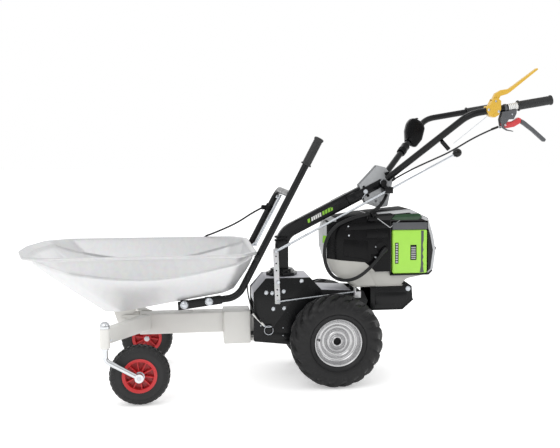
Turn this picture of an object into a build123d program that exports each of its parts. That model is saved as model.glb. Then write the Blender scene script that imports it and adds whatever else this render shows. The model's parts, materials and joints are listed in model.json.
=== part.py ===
from build123d import *
import os
from math import cos, hypot, pi, radians, sin, tan

# Power wheelbarrow: a battery-driven two-wheel drive unit with a castered tipping tray in front.
# Millimetres. +X points to the handlebar, +Z up, and the operator's left side is -Y.
# The origin is on the ground, under the middle of the whole machine.

# ---- driving dimensions ----
SIDES = {"left": -1, "right": 1}
RUN = 0.05               # radial clearance of every running fit
GAP = 0.5                # space between two parts that move past each other

DRIVE_X = 179            # drive axle
DRIVE_R = 172            # lug tyre, outside
DRIVE_Y = 185            # middle of each drive wheel
DRIVE_HALF = 58          # half of the lug tyre's width
RIM_R = 88               # six-inch pressed rim, over its flange
AXLE_R = 12.5
HUB_R = 22

CASTER_X = -528          # caster axle
CASTER_R = 104
CASTER_Y = 299
CASTER_HALF = 32
CASTER_RIM_R = 57
CASTER_AXLE_R = 6
KINGPIN_X = -639
KINGPIN_Y = 350
KINGPIN_R = 9
SLEEVE_R = 17
SLEEVE_Z = (210, 278)
CAP_Z = 284              # the kingpin cap's dome starts here
ARM_WALL = 3.5

BEAM_X = (-541, -228)    # square carrier beam under the tray
BEAM_HALF = 40
BEAM_WALL = 4
BEAM_Z = (186, 262)
HINGE_X = -597           # the tray tips about this cross pin
HINGE_Z = 242
HINGE_R = 6
HITCH_X = -63            # cross pin that couples the carrier to the drive unit
HITCH_Z = 199
HITCH_R = 8

RIM_Z = 508              # centre of the tray's rolled edge
BEAD_R = 6
SHEET = 1.6              # pressed tray sheet
FLOOR_SLOPE = 9.1        # the tray's floor rises to the rear, degrees
FLOOR_MID = (-436, 331)

TUBE_R = 12.5            # all 25 mm round tubes
TUBE_WALL = 2.5
RAIL_Y = 200
RAIL_FRONT = (-393, 322.8)
LEVER_FOOT = (-184, 346)
LEVER_TOP = (114.3, 917)
HOOP_Z = 713

PLATE_Y = 84             # inner face of each drive unit side plate
PLATE_T = 6
PLATE_TOP = 394

COLUMN_X = -3
COLUMN_SLOPE = 27
COLUMN_CORNER_Z = 550
COLUMN_END_X = 345
COLUMN_DEEP = 50
COLUMN_WIDE = 38
COLUMN_WALL = 3
PIVOT_X = 390            # the handlebar's height is set about this bolt
PIVOT_Z = 748
SECTOR_R = 77.6          # lock slot and lock holes lie on this radius
SECTOR_Y = 21
SECTOR_T = 4

HANDLE_Y = 290
HANDLE_START = (404, 764, 39)
HANDLE_BEND = (646, 1003)
HANDLE_BEND_R = 85
HANDLE_END = (957.8, 1056.5)
GRIP_R = 17
GRIP_LONG = 134

MOTOR_HALF = 92          # half width of the power head
MOTOR_WALL = 5
NOSE_HALF = 50           # half width at the front of the nose
NOSE_BACK = 215          # where the nose reaches the full width
MOTOR_X = 272            # the electric motor's upright shaft
SPLIT = 0.4              # joint line between two covers

CRANK_X = -27            # gear-shift crank on the left side plate
CRANK_Z = 380
CRANK_Y = -99
ROD_R = 4
ROD_FOOT = (-36, -107, 497)
ROD_KNOB = (668, -88, 863)
KNOB_R = 16.5
SELECTOR_Y = -106
SELECTOR_FOOT = (-29, 308)
SELECTOR_END = (269, 338)

CLUTCH_X = 775
CLUTCH_Z = 964
SAFETY_X = 738
SAFETY_Z = 1049

NODES = {}


# ---- shape helpers ----
def keep(name, shape):
    NODES[name] = shape


def box(x, y, z):
    """A block given by its low and high limits on each axis."""
    size = [limits[1] - limits[0] for limits in (x, y, z)]
    centre = [(limits[1] + limits[0]) / 2 for limits in (x, y, z)]
    return Pos(*centre) * Box(*size)


def rod(start, end, radius):
    """A round bar from one point to another."""
    run = Vector(*end) - Vector(*start)
    plane = Plane(origin=start, z_dir=run)
    return plane * Cylinder(radius, run.length, align=(Align.CENTER, Align.CENTER, Align.MIN))


def cross_rod(x, z, radius, y):
    """A round bar along Y between the two limits in y."""
    return rod((x, min(y), z), (x, max(y), z), radius)


def profile(points, y, corner=0):
    """A flat outline in X and Z, given a thickness along Y."""
    face = make_face(Polyline(*[(x, y[0], z) for x, z in points], close=True))
    solid = extrude(face, amount=y[1] - y[0], dir=(0, 1, 0))
    if corner:
        solid = fillet(solid.edges().filter_by(Axis.Y), corner)
    return solid


def turned(points, x, z, y, side=1):
    """Revolve a profile of (distance along Y, radius) about a cross axis at x, z."""
    outline = [(x, y + side * along, z + radius) for along, radius in points]
    face = make_face(Polyline(*outline, close=True))
    return revolve(face, Axis((x, 0, z), (0, 1, 0)), 360)


def bent(points, radius, bends, wall=0):
    """A round tube or bar along straight runs joined by tangent arcs."""
    path = FilletPolyline(*points, radius=bends) if len(points) > 2 else Line(*points)
    section = Circle(radius)
    if wall:
        section -= Circle(radius - wall)
    return sweep(Plane(origin=path @ 0, z_dir=path % 0) * section, path=path)


def cable(name, points, diameter):
    """A cable whose arcs are as large as its runs allow."""
    corners = [Vector(*point) for point in points]
    bends = []
    for before, here, after in zip(corners, corners[1:], corners[2:]):
        turn = radians((here - before).get_angle(after - here))
        shorter = min((here - before).length, (after - here).length)
        bends.append(0.45 * shorter / tan(turn / 2))
    print(name, "bend radii", [round(bend) for bend in bends])
    path = FilletPolyline(*points, radius=bends)
    print(name, "length", round(path.length))
    return sweep(Plane(origin=path @ 0, z_dir=path % 0) * Circle(diameter / 2), path=path)


def screws(places, y, radius, high, side):
    """Round bolt heads standing on a face at y, one for each place in X and Z."""
    heads = [cross_rod(x, z, radius, (y, y + side * high)) for x, z in places]
    return Compound(children=heads)


# ---- carrier frame ----
def carrier_beam():
    beam = box(BEAM_X, (-BEAM_HALF, BEAM_HALF), BEAM_Z)
    room = BEAM_HALF - BEAM_WALL
    beam -= box((BEAM_X[0] + 5, BEAM_X[1] + 1), (-room, room), (BEAM_Z[0] + BEAM_WALL, BEAM_Z[1] - BEAM_WALL))
    for side in SIDES.values():
        ear = profile(
            [(BEAM_X[0], 206), (HINGE_X - 4, 224), (HINGE_X - 16, 234), (HINGE_X - 16, 252),
             (HINGE_X - 6, 262), (BEAM_X[0], 262)],
            sorted((side * 31, side * 38)))
        beam += ear - cross_rod(HINGE_X, HINGE_Z, HINGE_R, (-60, 60))
    return beam


def front_arm(side):
    """A tapered box arm from the beam out to the upright sleeve that carries a caster, welded to it."""
    def section(y, x, z, skin):
        corners = [(x[0] + skin, z[0] + skin), (x[1] - skin, z[0] + skin),
                   (x[1] - skin, z[1] - skin), (x[0] + skin, z[1] - skin)]
        return make_face(Polyline(*[(u, side * y, v) for u, v in corners], close=True))

    def block(skin):
        inner = section(BEAM_HALF, (-541, -497), (204, 262), skin)
        outer = section(KINGPIN_Y - 14, (-657, -621), (222, 276), skin)
        return loft([inner, outer])

    def upright(radius):
        y = side * KINGPIN_Y
        return rod((KINGPIN_X, y, SLEEVE_Z[0]), (KINGPIN_X, y, SLEEVE_Z[1]), radius)

    arm = block(0) - block(ARM_WALL) - upright(SLEEVE_R)
    sleeve = upright(SLEEVE_R) - upright(KINGPIN_R + RUN)
    return Compound(children=[arm, sleeve])


def hitch_box():
    """The end box of the beam, with the tongue that the drive unit's side plates take."""
    block = box((BEAM_X[1], -128), (-60, 60), (144, 267))
    block -= box((BEAM_X[1] + 5, -133), (-55, 55), (149, 262))
    tongue = profile([(-128, 150), (-42, 165), (-42, 232), (-128, 240)], (-32, 32))
    tongue -= box((-120, -40), (-26, 26), (140, 250))
    return block + tongue - cross_rod(HITCH_X, HITCH_Z, HITCH_R, (-80, 80))


def cross_pins():
    """The tray's hinge pin and the hitch pin, each with a head at both ends."""
    pins = []
    hinge = (HINGE_X, HINGE_Z, HINGE_R, 10, 38.2)
    hitch = (HITCH_X, HITCH_Z, HITCH_R, 13, PLATE_Y + PLATE_T + 0.2)
    for x, z, radius, head, face in (hinge, hitch):
        pin = cross_rod(x, z, radius, (-face - 6, face + 6))
        for side in SIDES.values():
            pin += cross_rod(x, z, head, (side * face, side * (face + 6)))
        pins.append(pin)
    return Compound(children=pins)


# ---- drive unit ----
def side_plate(side):
    outline = [(-119, 156), (-119, 340), (-72, PLATE_TOP), (95, PLATE_TOP), (139, 346), (300, 338),
               (318, 300), (250, 110), (16, 140)]
    plate = profile(outline, sorted((side * PLATE_Y, side * (PLATE_Y + PLATE_T))), corner=7)
    plate -= cross_rod(DRIVE_X, DRIVE_R, AXLE_R + 3, (-120, 120))
    return plate - cross_rod(HITCH_X, HITCH_Z, HITCH_R, (-120, 120))


def gearbox_housing():
    """Cast case round the drive axle, with a neck up to the motor."""
    case = cross_rod(DRIVE_X, DRIVE_R, 70, (-62, 62))
    case += cross_rod(DRIVE_X, DRIVE_R, 30, (-83.5, 83.5))
    case += box((150, 300), (-50, 50), (DRIVE_R, 330))
    case += box((40, 200), (-40, 40), (DRIVE_R - 20, 300))
    inner = cross_rod(DRIVE_X, DRIVE_R, 60, (-52, 52)) + box((160, 290), (-42, 42), (DRIVE_R, 322))
    return case - inner - cross_rod(DRIVE_X, DRIVE_R, AXLE_R + RUN, (-120, 120))


def deck_cover():
    """Folded sheet between the side plates, closing the top of the drive unit."""
    top = [(-116, 300), (-116, 338), (-71, PLATE_TOP), (94, PLATE_TOP), (138, 346), (254, 340)]
    under = [(x + 2.5 if x < 0 else x - 1.5, z - 3) for x, z in reversed(top)]
    return profile(top + under, (-PLATE_Y + 0.3, PLATE_Y - 0.3))


def motor_bracket():
    """Black folded box behind the gearbox that carries the power head's overhang."""
    outline = [(326, 264), (452, 264), (493, 300), (489, 352), (470, 366), (449, 350), (326, 350)]
    block = profile(outline, (-96, 96))
    inside = profile([(320, 268), (450, 268), (488, 302), (484, 349), (470, 360), (452, 346), (320, 346)],
                     (-92, 92))
    return block - inside


def chassis_bolts():
    """Zinc bolt heads on both side plates and on the rear bracket."""
    plate_places = [(-71, 340), (-48, 338), (-5, 343), (-44, 278), (-3, 279), (63, 381)]
    heads = []
    for side in SIDES.values():
        heads += screws(plate_places, side * (PLATE_Y + PLATE_T), 6.5, 5, side).children
        heads += screws([(474, 343)], side * 96, 8, 5, side).children
    stud = cross_rod(CRANK_X, CRANK_Z, 5, (-PLATE_Y - PLATE_T, CRANK_Y - 3))
    stud += cross_rod(CRANK_X, CRANK_Z, 9, (CRANK_Y - 2 - GAP, CRANK_Y - 6))
    return Compound(children=list(heads) + [stud])


# ---- steering column ----
def column_base():
    base = Pos(COLUMN_X, 0, PLATE_TOP) * extrude(RegularPolygon(60, 8), 13)
    base += Pos(COLUMN_X, 0, PLATE_TOP + 13) * extrude(RegularPolygon(44, 8), 13)
    base -= Pos(COLUMN_X, 0, PLATE_TOP + 6) * extrude(RectangleRounded(COLUMN_DEEP, COLUMN_WIDE, 8), 30)
    for quarter in range(4):
        angle = radians(90 * quarter + 22.5)
        x = COLUMN_X + 48.5 * cos(angle)
        y = 48.5 * sin(angle)
        base += rod((x, y, PLATE_TOP + 10), (x, y, PLATE_TOP + 18), 5)
    return base


def column_tube():
    """Bent rectangular column, ending in a flat lug for the handlebar's pivot bolt."""
    end_z = COLUMN_CORNER_Z + (COLUMN_END_X - COLUMN_X) * tan(radians(COLUMN_SLOPE))
    path = FilletPolyline((COLUMN_X, 0, PLATE_TOP + 6), (COLUMN_X, 0, COLUMN_CORNER_Z),
                          (COLUMN_END_X, 0, end_z), radius=75)
    wall = COLUMN_WALL * 2
    section = RectangleRounded(COLUMN_DEEP, COLUMN_WIDE, 8)
    section -= RectangleRounded(COLUMN_DEEP - wall, COLUMN_WIDE - wall, 5)
    tube = sweep(Plane(origin=path @ 0, x_dir=(1, 0, 0), z_dir=path % 0) * section, path=path)
    along = (cos(radians(COLUMN_SLOPE)), sin(radians(COLUMN_SLOPE)))
    across = (-along[1], along[0])

    def at(back, up):
        return (PIVOT_X - back * along[0] + up * across[0], PIVOT_Z - back * along[1] + up * across[1])

    lug = profile([at(88, -16), at(0, -16), at(0, 16), at(88, 16)], (-17, 17))
    lug += cross_rod(PIVOT_X, PIVOT_Z, 16, (-17, 17))
    tube += lug
    tube -= cross_rod(PIVOT_X, PIVOT_Z, 7, (-40, 40))
    lock_x, lock_z = at(SECTOR_R, 0)
    return tube - cross_rod(lock_x, lock_z, 5, (-40, 40))


def lock_place():
    angle = radians(180 + COLUMN_SLOPE)
    return PIVOT_X + SECTOR_R * cos(angle), PIVOT_Z + SECTOR_R * sin(angle)


def pivot_bolts():
    """Pivot bolt and lock bolt of the handlebar, each with its two heads."""
    lock_x, lock_z = lock_place()
    bolts = []
    for x, z, radius, head in ((PIVOT_X, PIVOT_Z, 7, 11), (lock_x, lock_z, 5, 9)):
        reach = SECTOR_Y + SECTOR_T + GAP
        bolt = cross_rod(x, z, radius, (-reach - 1, reach + 1))
        for side in SIDES.values():
            bolt += cross_rod(x, z, head, (side * reach, side * (reach + 6)))
        bolts.append(bolt)
    return Compound(children=bolts)


def rod_guide():
    """Clamp on the pivot bolt's left end with the loose eye that the shift rod slides in."""
    eye = rod_point(396)
    arm = box((381, 411), (eye[1] - 10, -SECTOR_Y - SECTOR_T - 7), (eye[2] - 12, eye[2] + 12))
    arm += cross_rod(PIVOT_X, PIVOT_Z, 11, (-44, -SECTOR_Y - SECTOR_T - 7))
    arm += box((381, 399), (-44, -SECTOR_Y - SECTOR_T - 7), (eye[2], PIVOT_Z))
    start = rod_point(360)
    end = rod_point(430)
    arm -= rod(start, end, ROD_R + 2)
    return arm


# ---- power head ----
def motor_outline(inset=0):
    points = [(150, 500), (148, 560), (160, 600), (200, 616), (300, 632), (480, 648), (556, 612),
              (575, 548), (586, 490), (576, 412), (560, 396), (470, 380), (445, 351), (274, 351),
              (250, 366), (196, 395), (168, 445)]
    face = make_face(Polyline(*[(x, 0, z) for x, z in points], close=True))
    return offset(face, -inset) if inset else face


def motor_plan(inset=0):
    """The power head from above: its nose widens to the full width."""
    half = [(140, NOSE_HALF), (150, NOSE_HALF), (NOSE_BACK, MOTOR_HALF), (620, MOTOR_HALF)]
    mirrored = [(x, -y) for x, y in reversed(half)]
    face = make_face(Polyline(*[(x, y, 300) for x, y in half + mirrored], close=True))
    face = offset(face, -inset) if inset else face
    return extrude(face, amount=400, dir=(0, 0, 1))


def motor_shell():
    """The power head's whole skin, later cut into its covers."""
    skin = extrude(motor_outline(), amount=MOTOR_HALF, dir=(0, 1, 0), both=True) & motor_plan()
    room = extrude(motor_outline(MOTOR_WALL), amount=MOTOR_HALF - MOTOR_WALL, dir=(0, 1, 0), both=True)
    return skin - (room & motor_plan(MOTOR_WALL))


def motor_covers():
    """Split the skin into front shell, lower shroud, side housing, top cover and battery bay."""
    wide = (-120, 120)
    zones = {
        "motor_front_shell": [(130, 440), (190, 478), (190, 596), (130, 596)],
        "motor_shroud": [(130, 330), (620, 330), (620, 396), (404, 396), (404, 418), (340, 418),
                         (318, 442), (303, 452), (190, 477), (130, 439)],
        "motor_housing": [(190, 477), (303, 452), (318, 442), (340, 418), (404, 418), (404, 606), (190, 596)],
        "battery_bay": [(404, 396), (620, 396), (620, 606), (404, 606)],
        "motor_top_cover": [(130, 596), (190, 596), (404, 606), (620, 606), (620, 700), (130, 700)],
    }
    shell = motor_shell()
    covers = {}
    for name, zone in zones.items():
        outline = make_face(Polyline(*[(x, wide[0], z) for x, z in zone], close=True))
        region = extrude(offset(outline, -SPLIT / 2), amount=wide[1] - wide[0], dir=(0, 1, 0))
        covers[name] = shell & region
    doorway = box((407, 553), (-120, -80), (399, 603))
    covers["battery_bay"] -= doorway
    covers["battery_bay"] += box((404.5, 408), (-89, 89), (402, 600))
    covers["battery_bay"] += box((578, 590), (-5, 5), (488, 500)) - cross_rod(585, 494, 3, (-10, 10))
    covers["motor_shroud"] -= rod((MOTOR_X, 0, 340), (MOTOR_X, 0, 380), 14)
    return covers


def electric_motor():
    """Vertical motor inside the covers, with its shaft down into the gearbox neck."""
    motor = rod((MOTOR_X, 0, 402), (MOTOR_X, 0, 530), 58)
    motor += rod((MOTOR_X, 0, 530), (MOTOR_X, 0, 550), 30)
    return motor + rod((MOTOR_X, 0, 331), (MOTOR_X, 0, 402), 9)


def battery():
    case = fillet(box((412, 548), (-100, 60), (402, 570)).edges().filter_by(Axis.Z), 10)
    return case, box((412, 548), (-100, 60), (570.3, 598))


# ---- tray ----
def rim_face(inset=0):
    points = [(-955, -75), (-914, -252), (-832, -316), (-176, -316), (-122, -232),
              (-122, 232), (-176, 316), (-832, 316), (-914, 252), (-955, 75)]
    face = make_face(Polyline(*[(x, y, 0) for x, y in points], close=True))
    face = fillet(face.vertices(), 45)
    return Pos(0, 0, RIM_Z) * (offset(face, -inset) if inset else face)


def floor_face(inset=0):
    points = [(-228, -55), (-222, -140), (-165, -203), (170, -203), (226, -140),
              (226, 140), (170, 203), (-165, 203), (-222, 140), (-228, 55)]
    face = make_face(Polyline(*points, close=True))
    face = fillet(face.vertices(), 30)
    if inset:
        face = offset(face, -inset)
    slope = radians(FLOOR_SLOPE)
    plane = Plane(origin=(FLOOR_MID[0], 0, FLOOR_MID[1] + inset), x_dir=(cos(slope), 0, sin(slope)),
                  z_dir=(-sin(slope), 0, cos(slope)))
    return plane * face


def tub():
    """Pressed sheet tray: sloped walls, a flat flange and a rolled edge."""
    flange = 12
    outer = loft([floor_face(), rim_face(flange)], ruled=True)
    inner = loft([floor_face(SHEET), rim_face(flange + SHEET)], ruled=True)
    edge = rim_face().wire()
    bead = sweep(Plane(origin=edge @ 0, z_dir=edge % 0) * Circle(BEAD_R), path=edge)
    lip = extrude(rim_face() - rim_face(flange + SHEET), SHEET)
    return outer - inner + lip + bead


def tray_bracket():
    """Two plates under the tray's floor that turn on the hinge pin, and their foot plate."""
    outline = [(-640, 295), (-620, 236), (-610, 226), (-584, 226), (-575, 236), (-540, 311)]
    plates = [profile(outline, sorted((side * 22, side * 29))) for side in SIDES.values()]
    foot = profile([(-640, 292), (-640, 295), (-540, 311), (-540, 308)], (-60, 60))
    bracket = plates[0] + plates[1] + foot
    return bracket - cross_rod(HINGE_X, HINGE_Z, HINGE_R + RUN, (-60, 60))


def lever_line(z):
    """X on the tipping lever's straight stretch at height z."""
    share = (z - LEVER_FOOT[1]) / (LEVER_TOP[1] - LEVER_FOOT[1])
    return LEVER_FOOT[0] + share * (LEVER_TOP[0] - LEVER_FOOT[0])


def lever_tube():
    """Left rail, bent up into the long tipping lever."""
    end_z = LEVER_TOP[1] - 8
    points = [(RAIL_FRONT[0], -RAIL_Y, RAIL_FRONT[1]), (LEVER_FOOT[0], -RAIL_Y, LEVER_FOOT[1]),
              (lever_line(end_z), -RAIL_Y, end_z)]
    return bent(points, TUBE_R, 70, wall=TUBE_WALL)


def lever_hoop():
    """Right rail, bent up and across to the lever."""
    top_x = lever_line(HOOP_Z)
    points = [(RAIL_FRONT[0], RAIL_Y, RAIL_FRONT[1]), (LEVER_FOOT[0], RAIL_Y, LEVER_FOOT[1]),
              (top_x, RAIL_Y, HOOP_Z), (top_x, -RAIL_Y + TUBE_R - 1, HOOP_Z)]
    hoop = bent(points, TUBE_R, [70, 55], wall=TUBE_WALL)
    lever = rod((LEVER_FOOT[0], -RAIL_Y, LEVER_FOOT[1]), (LEVER_TOP[0], -RAIL_Y, LEVER_TOP[1]), TUBE_R + RUN)
    return hoop - lever


def lever_grip():
    low_z = 820
    foot = (lever_line(low_z), -RAIL_Y, low_z)
    top = (LEVER_TOP[0], -RAIL_Y, LEVER_TOP[1])
    grip = rod(foot, top, GRIP_R - 1)
    grip += rod(foot, (lever_line(low_z + 5), -RAIL_Y, low_z + 5), GRIP_R + 3)
    end_z = LEVER_TOP[1] - 8
    return grip - rod((lever_line(700), -RAIL_Y, 700), (lever_line(end_z), -RAIL_Y, end_z), TUBE_R)


def tray_stays():
    """Thin stay to the right rim with its clamp, and the flat brace to the rear rim."""
    clamp_z = 641
    clamp_x = lever_line(clamp_z)
    clamp = box((clamp_x - 22, clamp_x + 22), (RAIL_Y - 17, RAIL_Y + 17), (clamp_z - 12, clamp_z + 12))
    clamp -= rod((lever_line(500), RAIL_Y, 500), (lever_line(760), RAIL_Y, 760), TUBE_R + RUN)
    stay = rod((clamp_x - 20, RAIL_Y + 14, clamp_z), (-285, 314, RIM_Z + BEAD_R + 3.4), 3)
    seat_z = RIM_Z + BEAD_R + 0.4
    brace = profile([(-109, seat_z), (-102, seat_z), (-3, 700), (-10, 700)], (-9, 9))
    return Compound(children=[clamp + stay, brace])


def tray_bolts():
    """Dome bolts through both rails."""
    places = [(-375, 321.5 + 3.3), (-287.5, 331 + 3.5)]
    heads = []
    for side in SIDES.values():
        for x, z in places:
            heads.append(cross_rod(x, z, 10, (side * (RAIL_Y + TUBE_R + 0.1), side * (RAIL_Y + TUBE_R + 6))))
    return Compound(children=heads)


# ---- wheels ----
def caster_fork(side):
    """Bent bar: upright kingpin, trailing arm on the outside, and the wheel's stub axle."""
    y = side * KINGPIN_Y
    bar = bent([(KINGPIN_X, y, CAP_Z), (KINGPIN_X, y, 168), (CASTER_X, y, CASTER_R)], KINGPIN_R, 24)
    cap = rod((KINGPIN_X, y, SLEEVE_Z[1] + GAP), (KINGPIN_X, y, CAP_Z), SLEEVE_R + 0.5)
    cap += (Pos(KINGPIN_X, y, CAP_Z) * Sphere(SLEEVE_R + 0.5)) & box(
        (KINGPIN_X - 30, KINGPIN_X + 30), (y - 30, y + 30), (CAP_Z, 330))
    collar = rod((KINGPIN_X, y, SLEEVE_Z[0] - 6), (KINGPIN_X, y, SLEEVE_Z[0] - GAP), 12)
    boss = cross_rod(CASTER_X, CASTER_R, 15, (side * (CASTER_Y + 34), side * (KINGPIN_Y + 10)))
    axle = cross_rod(CASTER_X, CASTER_R, CASTER_AXLE_R, (side * (CASTER_Y - 44), side * KINGPIN_Y))
    nut = cross_rod(CASTER_X, CASTER_R, 10, (side * (CASTER_Y - 42), side * (CASTER_Y - 34)))
    return bar + cap + collar + boss + axle + nut


def caster_rim(side):
    """Moulded wheel: hub, ten-window web and a barrel with two lips."""
    y = side * CASTER_Y
    r = CASTER_RIM_R
    rim = turned([(-33, CASTER_AXLE_R + RUN), (33, CASTER_AXLE_R + RUN), (33, 15), (-33, 15)],
                 CASTER_X, CASTER_R, y)
    rim += turned([(-6, 14), (6, 14), (6, r - 5), (-6, r - 5)], CASTER_X, CASTER_R, y)
    rim += turned([(-26, r - 8), (26, r - 8), (26, r + 1), (20, r + 1), (18, r - 3), (-18, r - 3),
                   (-20, r + 1), (-26, r + 1)], CASTER_X, CASTER_R, y)
    for window in range(10):
        angle = 2 * pi * window / 10
        rim -= cross_rod(CASTER_X + 34 * cos(angle), CASTER_R + 34 * sin(angle), 7, (y - 12, y + 12))
    return rim


def tyre(x, radius, y, half, bore, rim_half, wall):
    """Hollow tyre: a crowned ring, open towards the rim."""
    shoulder = half * 0.55
    outer = [(-rim_half, bore), (-half, bore + (radius - bore) * 0.3), (-half, radius - shoulder * 0.55),
             (-half + shoulder * 0.5, radius - 2), (-half * 0.3, radius), (half * 0.3, radius),
             (half - shoulder * 0.5, radius - 2), (half, radius - shoulder * 0.55),
             (half, bore + (radius - bore) * 0.3), (rim_half, bore)]
    ring = turned(outer, x, radius, y)
    inner = [(-rim_half + wall, bore - 1), (-half + wall, bore + (radius - bore) * 0.35),
             (-half + wall, radius - shoulder * 0.6 - wall), (-half * 0.4, radius - wall),
             (half * 0.4, radius - wall), (half - wall, radius - shoulder * 0.6 - wall),
             (half - wall, bore + (radius - bore) * 0.35), (rim_half - wall, bore - 1)]
    return ring - turned(inner, x, radius, y)


def drive_rim(side):
    """Pressed steel rim, welded from a barrel, a stepped dish and a hub."""
    y = side * DRIVE_Y
    r = RIM_R
    barrel = [(46, r), (46, r - 4), (40, r - 12), (-40, r - 12), (-46, r - 4), (-46, r),
              (-42, r), (-38, r - 8.5), (38, r - 8.5), (42, r)]
    dish = [(30, r - 12), (26, r - 26), (14, r - 34), (12, 34), (20, 28), (20, AXLE_R), (16, AXLE_R),
            (16, 26), (8, 33), (10, r - 33), (22, r - 24), (26, r - 12)]
    hub = [(-50, AXLE_R), (16, AXLE_R), (16, HUB_R), (-50, HUB_R)]
    return Compound(children=[turned(outline, DRIVE_X, DRIVE_R, y, side) for outline in (barrel, dish, hub)])


def drive_axle(side):
    return cross_rod(DRIVE_X, DRIVE_R, AXLE_R, (side * 20, side * (DRIVE_Y + 15)))


# ---- handlebar ----
def sector_plate():
    """Two perforated cheeks on the pivot bolt, joined by a bridge at their upper edge."""
    outline = [(296, 738), (368, 814), (400, 806), (430, 762), (408, 656), (372, 650), (322, 668)]
    plates = profile([(372, 806), (368, 814), (400, 806), (397, 800)], (-SECTOR_Y - 1, SECTOR_Y + 1))
    for side in SIDES.values():
        plates += profile(outline, sorted((side * SECTOR_Y, side * (SECTOR_Y + SECTOR_T))), corner=5)
    plates -= cross_rod(PIVOT_X, PIVOT_Z, 7 + RUN, (-60, 60))
    for hole in range(3):
        angle = radians(-97 - 13.5 * hole)
        plates -= cross_rod(PIVOT_X + SECTOR_R * cos(angle), PIVOT_Z + SECTOR_R * sin(angle), 4.5, (-60, 60))
    for step in range(-14, 15, 2):
        angle = radians(180 + COLUMN_SLOPE + step)
        plates -= cross_rod(PIVOT_X + SECTOR_R * cos(angle), PIVOT_Z + SECTOR_R * sin(angle), 5.6, (-60, 60))
    return plates


def handle_tube(side):
    """Tube from the cheek out to the grip; the left one carries the cable guide stub."""
    x0, z0, y0 = HANDLE_START
    run = hypot(HANDLE_END[0] - HANDLE_BEND[0], HANDLE_END[1] - HANDLE_BEND[1])
    back = 8 / run
    end = (HANDLE_END[0] - back * (HANDLE_END[0] - HANDLE_BEND[0]),
           HANDLE_END[1] - back * (HANDLE_END[1] - HANDLE_BEND[1]))
    points = [(x0, side * y0, z0), (HANDLE_BEND[0], side * HANDLE_Y, HANDLE_BEND[1]),
              (end[0], side * HANDLE_Y, end[1])]
    tube = bent(points, TUBE_R, HANDLE_BEND_R, wall=TUBE_WALL)
    foot = profile([(394, 786), (402, 763), (424, 763), (412, 790)], sorted((side * 25.2, side * 33)))
    tube += foot - bent(points, TUBE_R - TUBE_WALL + 0.5, HANDLE_BEND_R)
    if side < 0:
        stub = rod((564, -203, 912), (597, -203, 876), 8)
        tube += stub - rod((540, -185, 890), (600, -245, 955), TUBE_R - 1)
    return tube


def grip_axis(back):
    """A point on the grip's axis, that far back from its end."""
    run = hypot(HANDLE_END[0] - HANDLE_BEND[0], HANDLE_END[1] - HANDLE_BEND[1])
    return (HANDLE_END[0] - back * (HANDLE_END[0] - HANDLE_BEND[0]) / run,
            HANDLE_END[1] - back * (HANDLE_END[1] - HANDLE_BEND[1]) / run)


def handle_grip(side):
    def at(back):
        x, z = grip_axis(back)
        return (x, side * HANDLE_Y, z)

    grip = rod(at(GRIP_LONG), at(0), GRIP_R - 1)
    grip += rod(at(GRIP_LONG), at(GRIP_LONG - 5), GRIP_R + 2)
    grip += rod(at(8), at(0), GRIP_R + 2)
    return grip - rod(at(GRIP_LONG + 20), at(8), TUBE_R)


def tube_hole(side, radius):
    """The space that the handle tube's straight stretch takes."""
    foot = grip_axis(330)
    end = grip_axis(-20)
    return rod((foot[0], side * HANDLE_Y, foot[1]), (end[0], side * HANDLE_Y, end[1]), radius)


def control_box():
    """Switch pod round the right handle tube, with the boot of its lead below."""
    pod = profile([(537, 893), (540, 960), (560, 1004), (590, 1000), (619, 970), (600, 905), (575, 880)],
                  (186, 226), corner=6)
    start = Vector(HANDLE_START[0], HANDLE_START[2], HANDLE_START[1])
    end = Vector(HANDLE_BEND[0], HANDLE_Y, HANDLE_BEND[1])
    low = start + (end - start) * 0.40
    boot = rod(tuple(low), tuple(start + (end - start) * 0.62), TUBE_R + 6)
    return pod + boot - rod(tuple(start), tuple(end), TUBE_R + RUN)


def clutch_bracket():
    """Pressed bracket clamped under the left tube, with the parking hook at its foot."""
    y = (-HANDLE_Y - 14, -HANDLE_Y + 14)
    plate = profile([(764, 1040), (820, 1049), (818, 1006), (808, 985), (790, 985), (764, 948), (758, 985),
                     (764, 1006)], y, corner=3)
    plate -= box((740, 840), (-HANDLE_Y - 10, -HANDLE_Y + 10), (940, 1010))
    hook = profile([(766, 952), (780, 944), (806, 940), (806, 943), (784, 948), (770, 957)],
                   (-HANDLE_Y - 14, -HANDLE_Y - 10.5))
    plate += hook
    plate -= tube_hole(-1, TUBE_R + RUN)
    return plate - cross_rod(CLUTCH_X, CLUTCH_Z, 4 + RUN, (-320, -260))


def clutch_lever():
    """Red hub on its pivot pin between the bracket's cheeks, and the blade in front of it."""
    y = (-HANDLE_Y - 9, -HANDLE_Y + 9)
    hub = profile([(766, 957), (765, 970), (775, 975), (806, 978), (826, 992), (838, 988), (836, 972),
                   (812, 958), (785, 953)], y, corner=3)
    hub += cross_rod(CLUTCH_X, CLUTCH_Z, 4, (-HANDLE_Y - 16, -HANDLE_Y + 16))
    blade = profile([(838.3, 987), (852, 980), (888, 953), (936, 913), (931, 904), (924, 905), (880, 942),
                     (846, 966), (838.3, 970)], (-HANDLE_Y - 8, -HANDLE_Y + 8), corner=2.5)
    return hub, blade


def safety_bracket():
    """Yellow clamp round the left tube with two cheeks for the safety lever."""
    outline = [(704, 1032), (716, 1034), (728, 1058), (744, 1062), (758, 1050), (758, 1020), (750, 1000),
               (736, 991), (718, 996), (706, 1010)]
    block = profile(outline, (-HANDLE_Y - 17, -HANDLE_Y + 17), corner=3)
    block -= box((724, 780), (-HANDLE_Y - 12, -HANDLE_Y + 12), (1034, 1080))
    block -= tube_hole(-1, TUBE_R + RUN)
    block -= cross_rod(SAFETY_X, SAFETY_Z, 3 + RUN, (-320, -260))
    return block + cross_rod(736, 999, 6, (-HANDLE_Y - 20, -HANDLE_Y - 17))


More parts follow.
